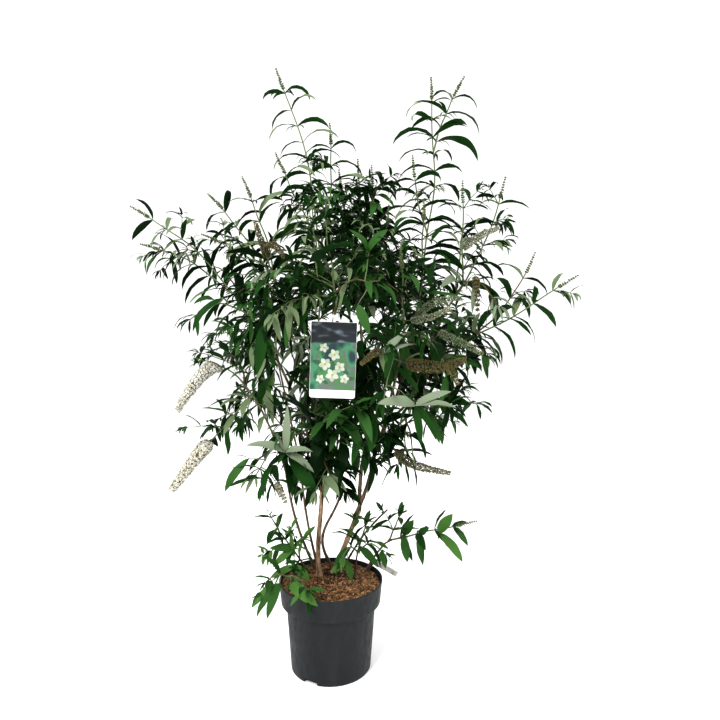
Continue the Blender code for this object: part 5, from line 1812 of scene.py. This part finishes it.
def make_pot():
    """The moulded pot: wide collar with a rolled rim, tapered body and drain notches."""
    inner_top = RIM_RADIUS - POT_WALL
    corners = [
        (0, 0),
        (BASE_RADIUS, 0),
        (BODY_TOP_RADIUS, COLLAR_FOOT),
        (COLLAR_FOOT_RADIUS, COLLAR_FOOT),
        (RIM_RADIUS - RIM_EDGE, POT_HEIGHT - RIM_BAND_FOOT),
        (RIM_RADIUS, POT_HEIGHT - RIM_BAND),
        (RIM_RADIUS, POT_HEIGHT),
        (inner_top + RIM_EDGE, POT_HEIGHT),
        (inner_top, POT_HEIGHT - RIM_LIP),
        (COLLAR_FOOT_RADIUS - POT_WALL, LEDGE),
        (BODY_TOP_RADIUS - POT_WALL, LEDGE),
        (BASE_RADIUS - POT_WALL, FLOOR_THICKNESS),
        (0, FLOOR_THICKNESS),
    ]
    profile = rounded(corners, POT_ROUNDING)
    fine = [profile[0], profile[1]]
    for before, after in zip(profile[1:], profile[2:-1]):
        runs = max(1, round(math.dist(before, after) / POT_RUN))
        for i in range(1, runs + 1):
            t = i / runs
            fine.append((before[0] + (after[0] - before[0]) * t, before[1] + (after[1] - before[1]) * t))
    fine.append(profile[-1])
    pot = turned_object("pot_moulded", fine, POT_SIDES, pot_material())
    for vert in pot.data.vertices:
        x, y, z = vert.co
        radius = math.hypot(x, y)
        if radius > DENTED_FROM[0] and z > DENTED_FROM[1]:
            angle = math.atan2(y, x)
            place = Vector((math.cos(angle) * DENTS_ROUND, math.sin(angle) * DENTS_ROUND, z * DENTS_UP))
            shift = 1 + noise.noise(place) * POT_DENT / radius
            vert.co.x, vert.co.y = x * shift, y * shift
    for angle in NOTCH_ANGLES:
        cutter = notch_cutter(angle)
        cut = pot.modifiers.new("notch", "BOOLEAN")
        cut.operation = "DIFFERENCE"
        cut.solver = "EXACT"
        cut.object = cutter
        evaluated = pot.evaluated_get(bpy.context.evaluated_depsgraph_get())
        mesh = bpy.data.meshes.new_from_object(evaluated)
        pot.modifiers.clear()
        pot.data = mesh
        bpy.data.objects.remove(cutter)
    smooth(pot.data, POT_SHARP)
    keep(pot, "pot_plastic", "pot")


def soil_height(x, y):
    """The uneven top of the soil, a little higher round the stems."""
    lumps = noise.noise(Vector((x * LUMPS, y * LUMPS, 3)))
    bumps = lumps + CRUMB_SHARE * noise.noise(Vector((x * CRUMBS, y * CRUMBS, 7)))
    mound = MOUND * math.exp(-((x - ROOT_BALL[0]) ** 2 + (y - ROOT_BALL[1]) ** 2) / MOUND_SPREAD)
    return SOIL_TOP - SOIL_RELIEF + SOIL_RELIEF * bumps + mound


def make_soil():
    """The soil in the pot, with an uneven top."""
    slope = (RIM_RADIUS - COLLAR_FOOT_RADIUS) / (POT_HEIGHT - COLLAR_FOOT)
    inset = POT_WALL + 4 * GAP
    top = COLLAR_FOOT_RADIUS + (SOIL_TOP - COLLAR_FOOT) * slope - inset
    verts = [(0, 0, soil_height(0, 0))]
    for ring in range(SOIL_RINGS):
        radius = top * (ring + 1) / SOIL_RINGS
        spots = [(radius * cos, radius * sin) for cos, sin in circle(SOIL_SIDES)]
        verts += [(x, y, soil_height(x, y)) for x, y in spots]
    shoulder = LEDGE + 3 * GAP
    low = FLOOR_THICKNESS + GAP
    profile = ((COLLAR_FOOT_RADIUS, shoulder), (BODY_TOP_RADIUS, shoulder), (BASE_RADIUS, low))
    for outside, height in profile:
        radius = outside - inset
        verts += [(radius * cos, radius * sin, height) for cos, sin in circle(SOIL_SIDES)]
    verts.append((0, 0, low))
    faces = [tuple(reversed([k + 1 for k in face])) for face in ring_faces(SOIL_RINGS + 3, SOIL_SIDES)]
    last = len(verts) - 1
    faces += fan(0, 1, SOIL_SIDES) + fan(last, last - SOIL_SIDES, SOIL_SIDES, True)
    soil = new_object("soil_top", verts, faces, [soil_material()])
    soil.data.shade_smooth()
    keep(soil, "mulch", "soil")


def make_chips():
    """Chips of bark over the soil, darker at the foot of the stems, and loose fibres."""
    draw = np.random.default_rng(11)
    radius = CHIP_SPREAD * np.sqrt(draw.random(CHIPS))
    angle = draw.uniform(0, 2 * math.pi, CHIPS)
    x, y = radius * np.cos(angle), radius * np.sin(angle)
    long = draw.uniform(*CHIP_LENGTHS, CHIPS) * np.where(draw.random(CHIPS) < LONG_SHARE, LONG_CHIP, 1.0)
    long = np.minimum(long, 2 * (CHIP_EDGE - radius) + CHIP_LENGTHS[0])
    heights = np.array([soil_height(a, b) for a, b in zip(x, y)])
    heights += draw.uniform(*CHIP_LIFTS, CHIPS)
    places = np.stack((x, y, heights), axis=1)
    tilts = [draw.normal(0, CHIP_TILT, CHIPS) for _ in range(2)]
    ways = np.stack((*tilts, np.ones(CHIPS)), axis=1)
    wide = long * draw.uniform(*CHIP_WIDTHS, CHIPS)
    sizes = np.stack((long, wide, draw.uniform(*CHIP_DEPTHS, CHIPS)), axis=1)
    near = np.exp(-((x - ROOT_BALL[0]) ** 2 + (y - ROOT_BALL[1]) ** 2) / ROOT_BALL_RADIUS ** 2)
    slots = draw.choice(4, CHIPS, p=CHIP_SHARES)
    dark = draw.random(CHIPS) < near * DARK_SHARE
    slots = np.where(dark, draw.choice((3, 4), CHIPS), slots)
    pile = Pile()
    scatter(pile, CHIP, places, ways, sizes, draw.uniform(0, ALL_ROUND, CHIPS), slots)
    for _ in range(FIBRES):
        radius, angle = FIBRE_SPREAD * math.sqrt(draw.random()), draw.uniform(0, 2 * math.pi)
        x, y = radius * math.cos(angle), radius * math.sin(angle)
        heading, length = draw.uniform(0, 2 * math.pi), draw.uniform(*FIBRE_LENGTHS)
        reach = np.array((math.cos(heading), math.sin(heading), 0)) * length
        first = np.array((x, y, soil_height(x, y) + FIBRE_RISE))
        lift = UP * draw.uniform(*FIBRE_LIFTS)
        path = np.stack((first, first + reach * 0.5 + lift, first + reach))
        add_tube(pile, path, FIBRE_RADII, 3, int(draw.integers(0, 4)))
    materials = [plain_material("chip", str(i), colour) for i, colour in enumerate(CHIP_COLOURS)]
    keep(pile.build("soil_chips", materials, CHIP_SHARP), "mulch")


def make_stage():
    """A pale floor under soft light, and the camera."""
    paint = Material("floor", 0.9, FLOOR_WHITE)
    paint.set("Specular IOR Level", 0.1)
    corners = [(FLOOR_REACH * x, FLOOR_REACH * y, 0) for x, y in ((-1, -1), (1, -1), (1, 1), (-1, 1))]
    new_object("floor", corners, [(0, 1, 2, 3)], [paint.mat])
    scene = bpy.context.scene
    scene.world = bpy.data.worlds.new("studio")
    scene.world.use_nodes = True
    sky = scene.world.node_tree.nodes["Background"]
    sky.inputs["Color"].default_value = (1, 1, 1, 1)
    sky.inputs["Strength"].default_value = SKY_STRENGTH
    for name, (place, size, power) in LIGHTS.items():
        lamp = bpy.data.lights.new(name, "AREA")
        lamp.size = size
        lamp.energy = power
        light = linked(name, lamp)
        light.location = place
        aim = Vector(LIGHT_AIM) - Vector(place)
        light.rotation_euler = aim.to_track_quat("-Z", "Y").to_euler()
    lens = bpy.data.cameras.new("camera")
    lens.lens = CAMERA_LENS
    lens.sensor_width = SENSOR
    scene.camera = linked("camera", lens)
    scene.camera.location = CAMERA_PLACE
    scene.camera.rotation_euler = (math.radians(90 - CAMERA_PITCH), 0, 0)
    scene.view_settings.view_transform = "Standard"
    scene.view_settings.gamma = VIEW_GAMMA


placed = place_limbs()
make_pot()
make_soil()
make_chips()
make_limbs(placed)
make_masses(placed)
make_tag(placed)
make_slip(placed)
make_stage()
